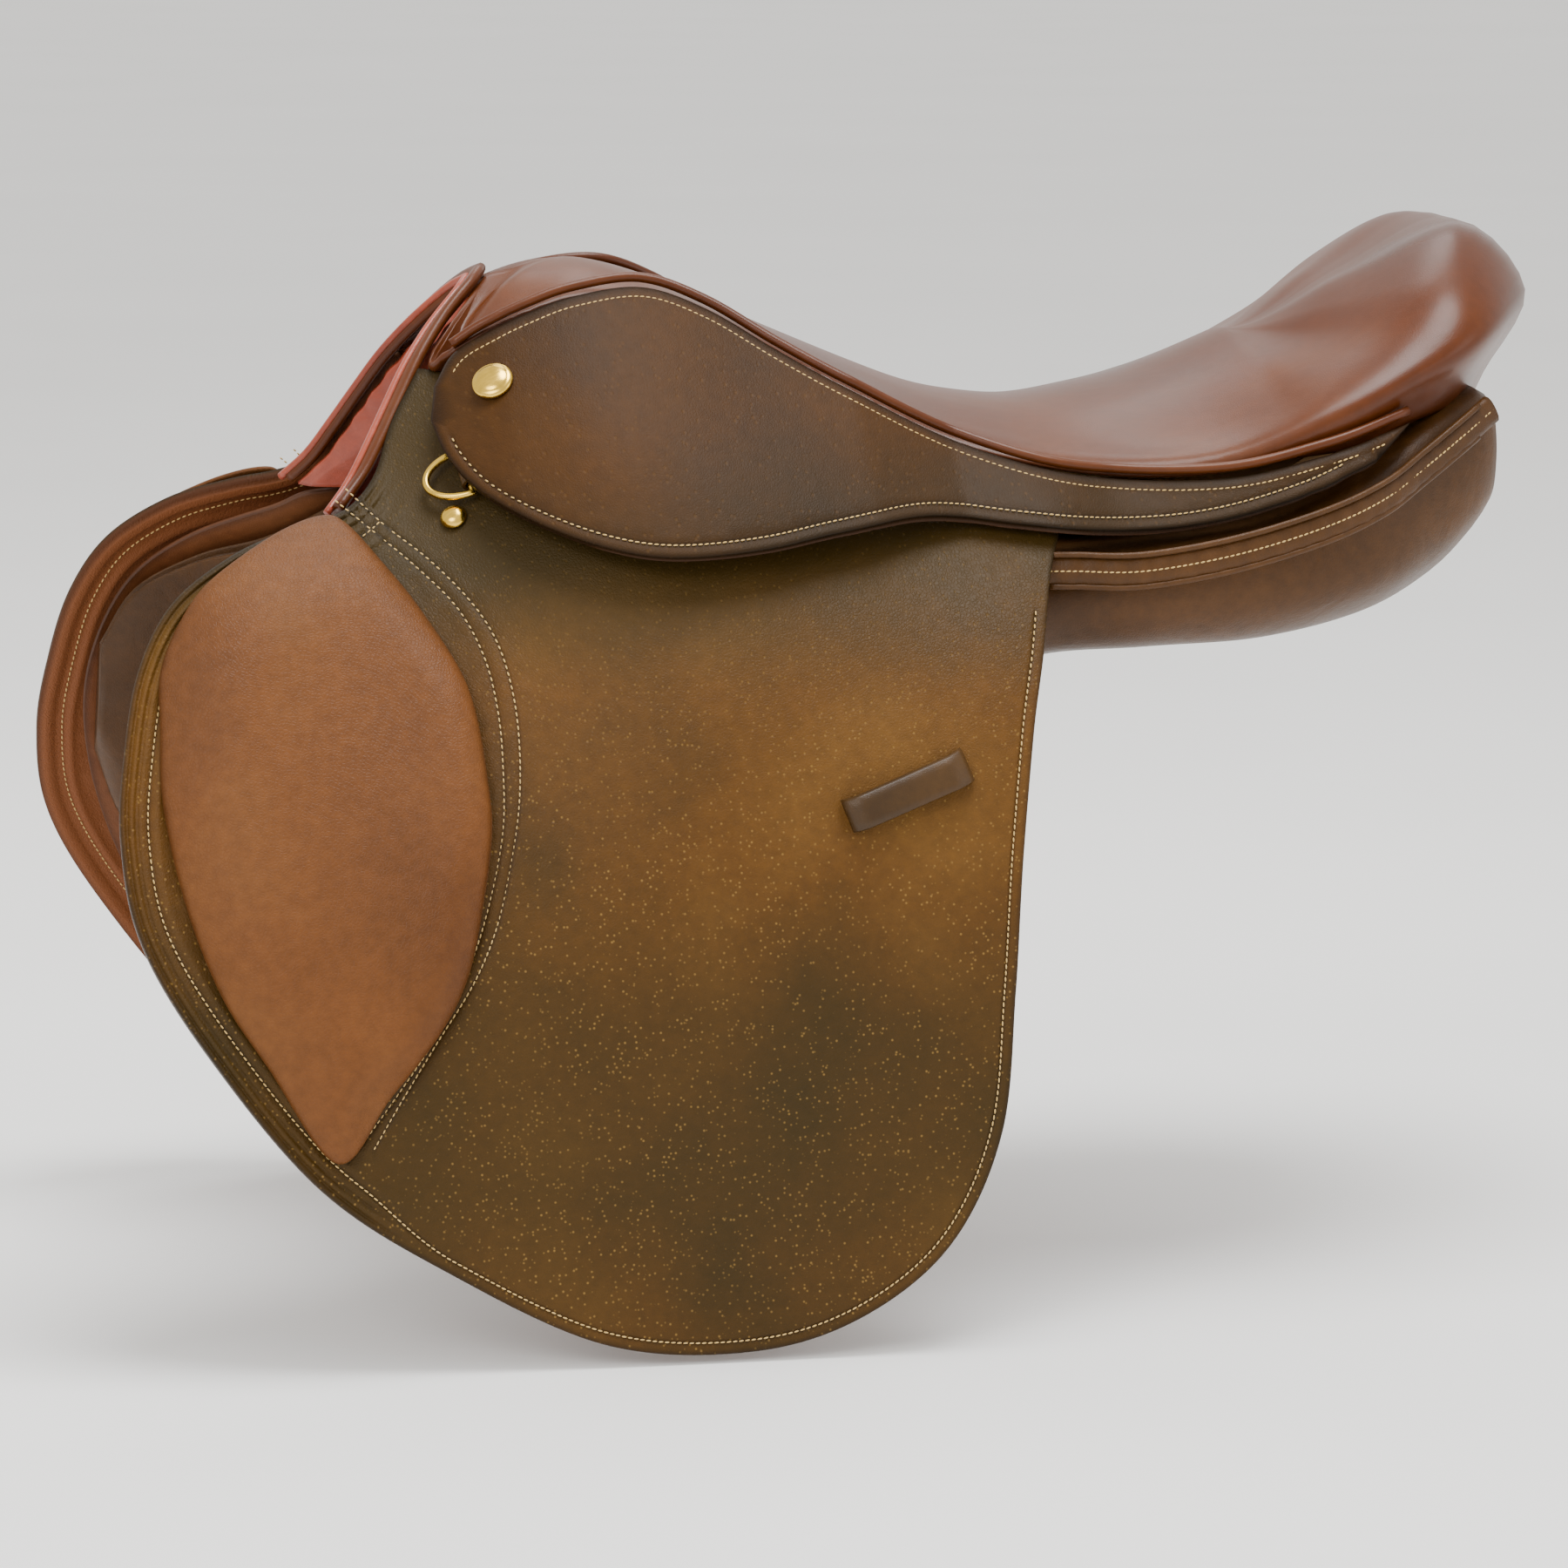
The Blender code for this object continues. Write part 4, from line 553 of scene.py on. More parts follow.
def grained_leather(name, colours, rough, grain_mm, depth_mm, mottle=0.5, coat=0.0, follicles=None, pattern=False,
                    creases=0.0, dark_rim=0.55, shine=0.30, darkening_by_height=None, olive_darkening=None, inside=None):
    """Leather: a hide colour that wanders between two tones, a pebbled or fine grain and darker burnished edges.

    colours are the hide's deep, usual and pale tones. grain_mm is the pebbles' size, depth_mm their height.
    follicles are the pore marks' spacing in millimetres, colour, strength and the heights between which they fade.
    The height table says how much of the hide's own colour shows at each height of the pattern, in metres, over the
    dark olive colour; on the flap the darkest part, just below the skirt, is painted shade.
    inside is the colour of a sheet's back, and dark_rim how dark a sheet's burnished edge is.
    """
    material, tree, shader = new_material(name, IOR=1.47, Coat_Weight=coat, Coat_Roughness=0.22, Coat_IOR=1.5,
                                          Specular_IOR_Level=shine)
    place = add(tree, "ShaderNodeTexCoord").outputs["UV" if pattern else "Object"]
    deep, usual, pale = (linear(code) for code in colours)
    cloudy = add(tree, "ShaderNodeTexNoise", {"Vector": place}, {"Scale": 9.0, "Detail": 4.0, "Roughness": 0.5})
    fine = add(tree, "ShaderNodeTexNoise", {"Vector": place}, {"Scale": 190.0, "Detail": 4.0, "Roughness": 0.65})
    tone = add(tree, "ShaderNodeValToRGB", {"Fac": cloudy}, stops=[(0.28, deep), (0.5, usual), (0.74, pale)])
    speck = add(tree, "ShaderNodeValToRGB", {"Fac": fine}, stops=[(0.34, 0.74), (0.66, 1.16)])
    colour = add(tree, "ShaderNodeMix", {"A": tone, "B": speck}, {"Factor": mottle}, data_type="RGBA",
                 blend_type="MULTIPLY")
    # Mixes the hide towards the dark olive colour by the pattern's height; on the flap this paints the skirt's shadow
    # as well as the dye's own uneven tone.
    if darkening_by_height:
        level = add(tree, "ShaderNodeSeparateXYZ", {"Vector": place}).outputs["Y"]
        drift = add(tree, "ShaderNodeTexNoise", {"Vector": place}, {"Scale": 6.0, "Detail": 3.0})
        shift = add(tree, "ShaderNodeMapRange", {"Value": drift},
                    {"From Min": 0.3, "From Max": 0.7, "To Min": -0.018, "To Max": 0.018})
        level = add(tree, "ShaderNodeMath", {0: level, 1: shift}, operation="ADD")
        low, high = darkening_by_height[0][0], darkening_by_height[-1][0]
        share = add(tree, "ShaderNodeMapRange", {"Value": level}, {"From Min": low, "From Max": high})
        strength = add(tree, "ShaderNodeValToRGB", {"Fac": share},
                       stops=[((at - low) / (high - low), min(1.0, value)) for at, value in darkening_by_height])
        colour = add(tree, "ShaderNodeMix", {"Factor": strength, "B": colour}, {"A": linear(olive_darkening)}, data_type="RGBA")
    bumps = []
    pebbles = add(tree, "ShaderNodeTexVoronoi", {"Vector": place}, {"Scale": 1000.0 / grain_mm, "Randomness": 1.0},
                  feature="DISTANCE_TO_EDGE")
    pebble = add(tree, "ShaderNodeValToRGB", {"Fac": pebbles}, stops=[(0.0, 0.0), (0.22, 1.0)])
    bumps.append((pebble, depth_mm))
    if follicles:
        size_mm, tint, strength, fade = follicles
        pores = add(tree, "ShaderNodeTexVoronoi", {"Vector": place}, {"Scale": 1000.0 / size_mm, "Randomness": 0.85})
        dot = add(tree, "ShaderNodeValToRGB", {"Fac": pores}, stops=[(0.12, 1.0), (0.28, 0.0)])
        ring = add(tree, "ShaderNodeValToRGB", {"Fac": pores}, stops=[(0.12, 0.0), (0.34, 1.0)])
        split = add(tree, "ShaderNodeSeparateXYZ", {"Vector": place})
        height = add(tree, "ShaderNodeMapRange", {"Value": split.outputs["Y" if pattern else "Z"]},
                     {"From Min": fade[0], "From Max": fade[1], "To Min": 1.0, "To Max": 0.25})
        patch = add(tree, "ShaderNodeTexNoise", {"Vector": place}, {"Scale": 24.0, "Detail": 2.0})
        wear = add(tree, "ShaderNodeValToRGB", {"Fac": patch}, stops=[(0.32, 0.55), (0.60, 1.0)])
        amount = add(tree, "ShaderNodeMath", {0: dot, 1: height}, operation="MULTIPLY")
        amount = add(tree, "ShaderNodeMath", {0: amount, 1: wear}, operation="MULTIPLY")
        amount = add(tree, "ShaderNodeMath", {0: amount}, {1: strength}, operation="MULTIPLY")
        colour = add(tree, "ShaderNodeMix", {"Factor": amount, "A": colour}, {"B": linear(tint)}, data_type="RGBA")
        bumps.append((ring, 0.10))
    if inside:
        back = add(tree, "ShaderNodeAttribute", attribute_name="back")
        colour = add(tree, "ShaderNodeMix", {"Factor": back.outputs["Fac"], "A": colour}, {"B": linear(inside)},
                     data_type="RGBA")
    rim = add(tree, "ShaderNodeAttribute", attribute_name="burnish")
    edge = add(tree, "ShaderNodeMapRange", {"Value": rim.outputs["Fac"]}, {"To Min": 1.0, "To Max": dark_rim})
    # Painted shade: the sunken stitch groove is darkened in colour.
    groove = add(tree, "ShaderNodeAttribute", attribute_name="groove")
    painted_groove_shade = add(tree, "ShaderNodeMapRange", {"Value": groove.outputs["Fac"]}, {"To Min": 1.0, "To Max": 0.55})
    shade = add(tree, "ShaderNodeMath", {0: edge, 1: painted_groove_shade}, operation="MULTIPLY")
    colour = add(tree, "ShaderNodeMix", {"A": colour, "B": shade}, {"Factor": 1.0}, data_type="RGBA",
                 blend_type="MULTIPLY")
    wander = add(tree, "ShaderNodeMapRange", {"Value": cloudy},
                 {"From Min": 0.3, "From Max": 0.7, "To Min": rough - 0.07, "To Max": rough + 0.08})
    if creases:
        folds = add(tree, "ShaderNodeTexNoise", {"Vector": place}, {"Scale": 46.0, "Detail": 6.0, "Distortion": 1.4})
        bumps.append((folds, creases))
    normal = None
    for source, tall in bumps:
        links = {"Height": source}
        if normal:
            links["Normal"] = normal
        normal = add(tree, "ShaderNodeBump", links, {"Strength": 0.9, "Distance": tall * MM})
    feed(tree, shader, {"Base Color": colour, "Roughness": wander, "Normal": normal})
    return material


# Vegetable-tanned cowhide, plated with a pigskin print and waxed: warm tan, semi-matt, with pale pore marks where the
# dye has worn off their rims, and darker where hands have burnished the edges.
FLAP_HIDE = grained_leather("vegetable_tanned_flap_hide", ("#3b280b", "#563710", "#68471b"), 0.50, 1.3, 0.09,
                            mottle=0.5, follicles=(2.2, "#94733a", 0.55, (-0.07, 0.02)), pattern=True, creases=0.3,
                            dark_rim=0.4, shine=0.17,
                            # Mixed towards dark olive by height: the darkest part, at the top of the flap, is painted
                            # shade where the skirt's shadow falls; the darker band lower down is the dye's own tone.
                            darkening_by_height=((-0.26, 0.60), (-0.20, 0.35), (-0.13, 0.45), (-0.06, 0.95), (-0.01, 0.95),
                                  (0.02, 0.45), (0.05, 0.15)), olive_darkening="#2a2207", inside="#764527")
# The skirts are cut from the same butt, smoother and more polished by the rider's leg.
SKIRT_HIDE = grained_leather("vegetable_tanned_skirt_hide", ("#281703", "#3a2205", "#482b0a"), 0.53, 1.1, 0.06,
                             mottle=0.5, follicles=(3.0, "#6a4a20", 0.2, (0.02, 0.30)), pattern=True, creases=0.2,
                             dark_rim=0.35, shine=0.15,
                             # The skirt is mixed towards dark olive, so it is darker towards its lower edge.
                             darkening_by_height=((0.04, 0.45), (0.065, 0.62), (0.09, 1.0), (0.15, 1.0)), olive_darkening="#1f1804",
                             inside="#5d3a20")
# Drum-dyed hide with a smooth glazed top coat, stretched over the seat: an even red-brown with a broad soft shine.
SEAT_HIDE = grained_leather("glazed_seat_hide", ("#441e08", "#51260a", "#5f3111"), 0.33, 0.9, 0.025, mottle=0.35,
                            coat=0.10, creases=0.12, dark_rim=0.8, shine=0.24)
# Drum-tumbled calf over the knee rolls: paler, matt, with a soft irregular grain and gathered creases.
PAD_HIDE = grained_leather("tumbled_calf_knee_pad", ("#573317", "#653c1b", "#714824"), 0.46, 1.4, 0.10, mottle=0.5,
                           creases=0.4, dark_rim=0.8, shine=0.18)
# Panel hide: thinner glove-finished leather over flock, darker than the flaps and softly wrinkled.
PANEL_HIDE = grained_leather("glove_finished_panel_hide", ("#321e09", "#42280c", "#503214"), 0.38, 1.2, 0.05,
                             mottle=0.6, creases=0.6, shine=0.24)
# Aniline lining hide: thin, glazed and red-brown, so it shines in the arch and creases where it is gathered.
LINING_HIDE = grained_leather("glazed_red_lining_hide", ("#7c2f1c", "#96412c", "#a85443"), 0.28, 1.0, 0.03,
                              mottle=0.5, coat=0.25, creases=0.8)
# The under flaps are the same chrome-retanned hide as the panels, redder and flat, shiny where the girth has rubbed.
UNDER_HIDE = grained_leather("retanned_under_flap_hide", ("#4a2913", "#663b20", "#7a4c2d"), 0.38, 1.1, 0.04,
                             mottle=0.5, creases=0.3, dark_rim=0.5)
# Bridle butt for the straps and sweat flaps: firm, oiled and dark, with a barely raised grain.
STRAP_HIDE = grained_leather("oiled_bridle_strap_hide", ("#30200c", "#483012", "#583c1a"), 0.40, 0.8, 0.03,
                             mottle=0.5, creases=0.15, dark_rim=1.0)


def plain_material(name, code, rough, metallic=0.0, grain=(60.0, 4.0), spread=0.08, depth_mm=0.02, tones=(0.8, 1.15),
                   stretch=(1.0, 1.0, 1.0)):
    """A surface of one colour with its own unevenness. Grain is the noise's scale and detail."""
    material, tree, shader = new_material(name, Metallic=metallic)
    place = add(tree, "ShaderNodeTexCoord").outputs["Object"]
    turned_place = add(tree, "ShaderNodeMapping", {"Vector": place}, {"Scale": stretch})
    cloud = add(tree, "ShaderNodeTexNoise", {"Vector": turned_place},
                {"Scale": grain[0], "Detail": grain[1], "Roughness": 0.6})
    low, high = (tuple(min(1.0, c * tone) for c in linear(code)[:3]) + (1.0,) for tone in tones)
    ramp = add(tree, "ShaderNodeValToRGB", {"Fac": cloud}, stops=[(0.3, low), (0.7, high)])
    wander = add(tree, "ShaderNodeMapRange", {"Value": cloud},
                 {"From Min": 0.3, "From Max": 0.7, "To Min": rough - spread, "To Max": rough + spread})
    bump = add(tree, "ShaderNodeBump", {"Height": cloud}, {"Strength": 0.7, "Distance": depth_mm * MM})
    feed(tree, shader, {"Base Color": ramp, "Roughness": wander, "Normal": bump})
    return material


# Linen thread drawn through beeswax: cream, with a dull waxy shine.
THREAD = plain_material("waxed_linen_thread", "#c2a163", 0.55, grain=(900.0, 2.0), depth_mm=0.05)
# Cast brass, polished and lacquered: warm yellow, mirror-like with faint handling scratches along it.
BRASS = plain_material("polished_lacquered_brass", "#e6bd4e", 0.24, 1.0, grain=(240.0, 5.0), spread=0.06,
                       depth_mm=0.012, tones=(0.9, 1.06), stretch=(1.0, 3.0, 1.0))
# Drop-forged steel with a satin zinc plate: grey, with the hammer's faint unevenness.
STEEL = plain_material("forged_satin_steel", "#a9abab", 0.36, 1.0, grain=(130.0, 4.0), depth_mm=0.05,
                       tones=(0.85, 1.05))
# Laminated beech for the tree: pale, with grain running the length of the rails.
BEECH = plain_material("laminated_beech", "#c79a63", 0.55, grain=(90.0, 6.0), depth_mm=0.08,
                       stretch=(0.12, 1.0, 1.0))
# Woven polyester webbing, about 1.5 mm between picks, so it shows as a fine rib.
WEB = plain_material("woven_polyester_web", "#c9bfa4", 0.8, grain=(650.0, 1.0), depth_mm=0.3,
                     stretch=(1.0, 0.3, 1.0))
# Cut latex foam: cream and open-celled, with pinholes under a millimetre across.
FOAM = plain_material("cut_latex_foam", "#d8c9a2", 0.9, grain=(1300.0, 2.0), depth_mm=0.4)


# Stitches


def stitching_tree():
    """A stitch stands at each point, its length along the point's aim."""
    tree = bpy.data.node_groups.new("saddle_stitching", "GeometryNodeTree")
    tree.interface.new_socket("Seam points", in_out="INPUT", socket_type="NodeSocketGeometry")
    for name in ("Stitch length", "Thread radius"):
        tree.interface.new_socket(name, in_out="INPUT", socket_type="NodeSocketFloat")
    tree.interface.new_socket("Thread", in_out="INPUT", socket_type="NodeSocketMaterial")
    tree.interface.new_socket("Stitches", in_out="OUTPUT", socket_type="NodeSocketGeometry")
    start = add(tree, "NodeGroupInput").outputs
    half = add(tree, "ShaderNodeMath", {0: start["Stitch length"]}, {1: 0.5}, operation="MULTIPLY")
    size = add(tree, "ShaderNodeCombineXYZ", {"X": half, "Y": start["Thread radius"], "Z": start["Thread radius"]})
    bead = add(tree, "GeometryNodeMeshUVSphere", values={"Segments": 7, "Rings": 6, "Radius": 1.0})
    laid_down = add(tree, "GeometryNodeTransform", {"Geometry": bead}, {"Rotation": (0.0, math.pi / 2, 0.0)})
    shaped = add(tree, "GeometryNodeTransform", {"Geometry": laid_down, "Scale": size})
    points = add(tree, "GeometryNodeMeshToPoints", {"Mesh": start["Seam points"]})
    aim = add(tree, "GeometryNodeInputNamedAttribute", values={"Name": "aim"}, data_type="FLOAT_VECTOR")
    turn = add(tree, "FunctionNodeAlignRotationToVector", {"Vector": aim}, axis="X")
    rows = add(tree, "GeometryNodeInstanceOnPoints",
               {"Points": points, "Instance": shaped,
                "Rotation": turn})
    real = add(tree, "GeometryNodeRealizeInstances", {"Geometry": rows})
    soft = add(tree, "GeometryNodeSetShadeSmooth", {"Geometry": real})
    cased = add(tree, "GeometryNodeSetMaterial", {"Geometry": soft, "Material": start["Thread"]})
    add(tree, "NodeGroupOutput", {"Stitches": cased})
    return tree


STITCHING = stitching_tree()


def stitch_piece(name, points, aims):
    """One mesh of stitches at points in metres, each laid along its aim."""
    seam = bpy.data.meshes.new(name + "_seam")
    seam.from_pydata(np.asarray(points).tolist(), [], [])
    seam.attributes.new("aim", "FLOAT_VECTOR", "POINT").data.foreach_set(
        "vector", np.asarray(aims, np.float32).ravel())
    holder = placed(name + "_seam", seam)
    sewn = holder.modifiers.new("stitching", "NODES")
    sewn.node_group = STITCHING
    sizes = {"Stitch length": STITCH_LENGTH, "Thread radius": THREAD_RADIUS, "Thread": THREAD}
    for item in STITCHING.interface.items_tree:
        if item.in_out == "INPUT" and item.name in sizes:
            sewn[item.identifier] = sizes[item.name]
    bpy.context.view_layer.update()
    graph = bpy.context.evaluated_depsgraph_get()
    mesh = bpy.data.meshes.new_from_object(holder.evaluated_get(graph))
    obj = placed(name, mesh)
    bpy.data.objects.remove(holder)
    bpy.data.meshes.remove(seam)
    return obj


def seam_on(lines, height, slant=0.10):
    """Stitch places and aims along pattern lines, at height(points) metres off the side form."""
    places, aims = [], []
    for line in lines:
        spots = evenly(line, STITCH_PITCH)
        place, normal = laid(spots, height(spots) if callable(height) else height)
        ahead = unit(np.gradient(place, axis=0))
        places.append(place)
        aims.append(ahead + np.cross(normal, ahead) * slant)
    return np.concatenate(places), np.concatenate(aims)


MIRROR = np.array((1.0, -1.0, 1.0))


def both_stitched(stem, places, aims, settle):
    for side, flip in (("left", np.ones(3)), ("right", MIRROR)):
        settle(stitch_piece(f"{stem}_{side}", places * flip, aims * flip), side)


def both_pieces(left, stem, settle):
    """Names the left piece, makes its twin, and settles each on its body."""
    right = other_side(left, stem + "_right")
    left.name = stem + "_left"
    settle(left, "left")
    settle(right, "right")


def riding(body):
    """Settles a piece on a body, which is the same for both sides or has {} for the side."""
    return lambda obj, side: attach(obj, body.format(side))


def bending(fold, off):
    """Settles a piece by baking its transform into its mesh. The fold's two ends on the form are worked out, but
    nothing uses them.
    """
    a, b = laid(np.array(fold), off)[0]

    def settle(obj, side):
        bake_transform(obj)

    return settle


def settle_on(body, *nodes, slot, pad=None):
    """Settles a piece on a body, or as bending() settles it, in place of the CAD nodes named."""

    def settle(obj, side=""):
        if callable(body):
            body(obj, side)
        else:
            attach(obj, body.format(side))
        if nodes:
            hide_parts(*(node.format(side) for node in nodes))

    return settle


# Seat


def seat_rows(reach):
    """Rows of points from the seat's ridge out over its rim to its edge, all the way round, in millimetres."""
    half = smooth_through(SEAT_EDGE, 4.0)
    loop = np.concatenate([half, half[-2:0:-1] * (1, -1, 1, 1, 1, 1)])
    ridge_line = smooth_through(SEAT_RIDGE, 3.0)
    rows = []
    for x, y, z, rise, inset, bulge in loop:
        wide = abs(y)
        ridge_x = min(max(x, -96.0), 190.0)
        ridge = np.array((ridge_x, 0.0, float(np.interp(ridge_x, ridge_line[:, 0], ridge_line[:, 1]))))
        out = np.array((x - ridge_x, wide))
        out = out / max(float(np.linalg.norm(out)), 1e-6)
        rim = np.array((x - out[0] * inset, wide - out[1] * inset, z + rise))
        far = np.array((x + out[0] * bulge, wide + out[1] * bulge, z + rise * 0.55))
        hollow = 0.25 + 0.27 * min(1.0, max(0.0, (x - 150.0) / 100.0))
        middle = ridge + (rim - ridge) * 0.5
        middle[2] = ridge[2] + (rim[2] - ridge[2]) * hollow
        drop = 1.5 + 9.5 * float(ease(np.array(x), 170, 235))
        hem = np.array((x - out[0] * 5.0, wide - out[1] * 5.0, z - drop))
        controls = [ridge, middle, rim, far, np.array((x, wide, z)), hem][:reach]
        rib = []
        for i in range(len(controls) - 1):
            b, c = controls[i], controls[i + 1]
            a = controls[i - 1] if i else np.array((2 * b[0] - c[0], 2 * b[1] - c[1], c[2]))
            d = controls[i + 2] if i + 2 < len(controls) else 2 * c - b
            pieces = 9 if i < 2 else 5
            rib += [spline(a, b, c, d, k / pieces) for k in range(pieces)]
        rib.append(controls[-1])
        rows.append(np.array(rib) * (1, 1 if y >= 0 else -1, 1))
    return np.array(rows)


def seat_layer(name, reach, sink, thickness, material, gathers=0.0, spread=1.0):
    """The seat's surface as an open sheet, drawn in by the spread and sunk, then given its thickness downward."""
    rows = seat_rows(reach)
    rows[..., :2] = rows[:, :1, :2] + (rows[..., :2] - rows[:, :1, :2]) * spread
    rows[..., 2] -= sink / MM
    count, wide = rows.shape[:2]
    gap = np.linalg.norm(np.diff(rows, axis=1), axis=2)
    rim = np.concatenate([np.cumsum(gap[:, ::-1], axis=1)[:, ::-1], np.zeros((count, 1))], axis=1)
    if gathers:
        run = np.concatenate([[0.0], np.cumsum(np.linalg.norm(np.diff(rows[:, -1], axis=0), axis=1))])[:, None]
        wave = np.sin(run * math.tau / 9.5 + 1.7 * np.sin(run / 31.0)) * np.sin(run / 57.0) ** 2
        rows[..., 2] += gathers * wave * np.exp(-(((rim - 9.0) / 6.0) ** 2))
    bm = bmesh.new()
    layer = bm.verts.layers.float.new("burnish")
    verts = [[bm.verts.new(point) for point in row] for row in rows * MM]
    for row, far in zip(verts, rim):
        for vert, distance in zip(row, far):
            vert[layer] = max(0.0, 1.0 - float(distance) / BURNISH_REACH)
    for a, b in zip(verts, verts[1:] + verts[:1]):
        for i in range(wide - 1):
            bm.faces.new((a[i], a[i + 1], b[i + 1], b[i]))
    bmesh.ops.remove_doubles(bm, verts=bm.verts, dist=2e-5)
    bmesh.ops.dissolve_degenerate(bm, edges=bm.edges, dist=1e-5)
    bmesh.ops.recalc_face_normals(bm, faces=bm.faces)
    bm.normal_update()
    if sum(face.normal.z * face.calc_area() for face in bm.faces) < 0:
        bmesh.ops.reverse_faces(bm, faces=bm.faces)
        bm.normal_update()
    obj = from_bmesh(bm, name, material)
    thick = obj.modifiers.new("thickness", "SOLIDIFY")
    thick.thickness = thickness
    thick.offset = -1.0
    return obj


seat = seat_layer("seat_hide", 6, 0.0, SEAT_LEATHER, SEAT_HIDE, gathers=0.35)
settle_on("saddle", "seat_cover", slot="seat_leather", pad=0.9)(seat)
filling = seat_layer("seat_filling", 3, SEAT_LEATHER + 0.0062, 0.0080, FOAM, spread=0.84)
settle_on("saddle", "seat_foam", slot="foam", pad=0.9)(filling)


# Flaps

FLAP_EDGE = smooth_through(FLAP_OUTLINE, 2.7)[:, :2]
FLAP_LINE = np.concatenate(
    [FLAP_EDGE, smooth_through([FLAP_OUTLINE[-1], *FLAP_TOP_EDGE, FLAP_OUTLINE[0]], 4.0)[1:-1, :2]])


def nearest(line, spot):
    return int(np.linalg.norm(line - spot, axis=1).argmin())


FRONT_START, FRONT_END = nearest(FLAP_EDGE, (-186, 70)), nearest(FLAP_EDGE, (-205, -209))
FLAP_COUNT = np.arange(len(FLAP_EDGE))
FLAP_INSET = 11.0 - 6.0 * ease(FLAP_COUNT, FRONT_END - 6, FRONT_END + 12)
FLAP_SEAM = set_in(FLAP_EDGE, FLAP_INSET)[FRONT_START + 4:nearest(FLAP_EDGE, (76, 20))]
KNEE_SEAMS = [smooth_through(line, 4.0)[:, :2] for line in (KNEE_SEAM_INNER, KNEE_SEAM_OUTER)]


def flap_relief(points, rim, where):
    """The rolled beads round the flap's front, the ridge inside them, and the leather's own slow waves."""
    front = ease(where, FRONT_START - 3, FRONT_START + 6) * (1 - ease(where, FRONT_END - 5, FRONT_END + 9))
    beads = 0.8 * hump(rim, 0, 2.4) + 1.05 * hump(rim, 3.2, 6.0) + 0.6 * hump(rim, 7.2, 9.2)
    beads -= 0.5 * hump(rim, 1.9, 3.7) + 0.5 * hump(rim, 5.6, 7.6) - 0.9 * hump(rim, 12.2, 17.0)
    waves = 0.35 * np.sin(points[:, 0] / 23.0 + 1.3) * np.sin(points[:, 1] / 31.0 + points[:, 0] / 67.0)
    waves *= ease(rim, 12, 40)
    knee = distance_to(points, KNEE_SEAMS[0])[0]
    between = distance_to(points, KNEE_SEAMS[1])[0]
    swell = 0.55 * np.exp(-((knee + between - 6.0) / 6.0) ** 2) * ease(rim, 3, 9)
    return beads * front + waves + swell


def flap_inner_relief(points, rim, where):
    """The back of the beads: a rolled rim, a sunken band for the seam and a ridge inside it."""
    front = ease(where, FRONT_START - 3, FRONT_START + 6) * (1 - ease(where, FRONT_END - 5, FRONT_END + 9))
    return front * (1.3 * hump(rim, 0.0, 8.0) + 1.0 * hump(rim, 12.2, 17.0) + 0.5 * ease(rim, 16.0, 30.0))


# How far in from the flap's edge its rows of points lie, close enough for the beads, in millimetres
FRONT_ROWS = (0.4, 1.0, 1.7, 2.3, 2.8, 3.3, 3.9, 4.6, 5.3, 5.9, 6.6, 7.3, 8.1, 8.9, 9.9, 12.4, 13.4, 14.6, 15.8,
              17.2)
flap = sheet_mesh("flap", FLAP_LINE, FLAP_HIDE, 0.0, FLAP_LEATHER, flap_relief,
                  inner=flap_inner_relief, insets=FRONT_ROWS, cell=4.4,
                  lines=[FLAP_SEAM, *KNEE_SEAMS], grooves=[FLAP_SEAM, *KNEE_SEAMS])
FLAP_BEND = bending(FLAP_FOLD, FLAP_LEATHER / 2)
both_pieces(flap, "flap_hide", settle_on(FLAP_BEND, "flap_{}", "flap_top_{}", slot="flap_leather"))
BACK_SEAM = FLAP_SEAM[:FRONT_END - FRONT_START]
both_stitched("flap_back_stitches", *seam_on([BACK_SEAM], -0.0001), FLAP_BEND)
both_stitched("flap_stitches", *seam_on([FLAP_SEAM, *KNEE_SEAMS], FLAP_LEATHER + 0.0001), FLAP_BEND)


# Skirts

SKIRT_TOP = smooth_through(SKIRT_UPPER, 2.6)[:, :2]
SKIRT_LOW = smooth_through(SKIRT_LOWER, 2.6)[:, :2]
SKIRT_LINE = np.concatenate([SKIRT_TOP, SKIRT_LOW])
SKIRT_SEAM = set_in(SKIRT_LOW, -5.0)[6:-3]
WELT_SEAM = set_in(SKIRT_TOP, -3.4)[4:-6]


def skirt_relief(points, rim, where):
    tail = ease(points[:, 0], 150, 215)
    gathers = 0.5 * np.sin(points[:, 0] / 2.6) * tail * np.exp(-rim / 9.0)
    lip = 0.35 * hump(rim, 0.6, 4.2)
    waves = 0.3 * np.sin(points[:, 0] / 21.0) * np.sin(points[:, 1] / 13.0)
    return lip + gathers + waves * ease(rim, 4, 14)


skirt = sheet_mesh("skirt", SKIRT_LINE, SKIRT_HIDE, skirt_stand, SKIRT_LEATHER, skirt_relief,
                   insets=(0.4, 1.0, 1.8, 2.6, 3.6, 4.4, 5.2, 6.2), cell=4.0, lines=[SKIRT_SEAM],
                   grooves=[SKIRT_SEAM])
SKIRT_BEND = bending(SKIRT_FOLD, 0.018)
both_pieces(skirt, "skirt_hide", settle_on(SKIRT_BEND, "skirt_{}", "skirt_top_{}", slot="flap_leather"))


def on_skirt(points):
    return skirt_stand(points[:, 0]) + SKIRT_LEATHER + 0.0001


both_stitched("skirt_stitches", *seam_on([SKIRT_SEAM], on_skirt), SKIRT_BEND)
both_stitched("seat_seam_stitches", *seam_on([WELT_SEAM], on_skirt), riding("saddle"))


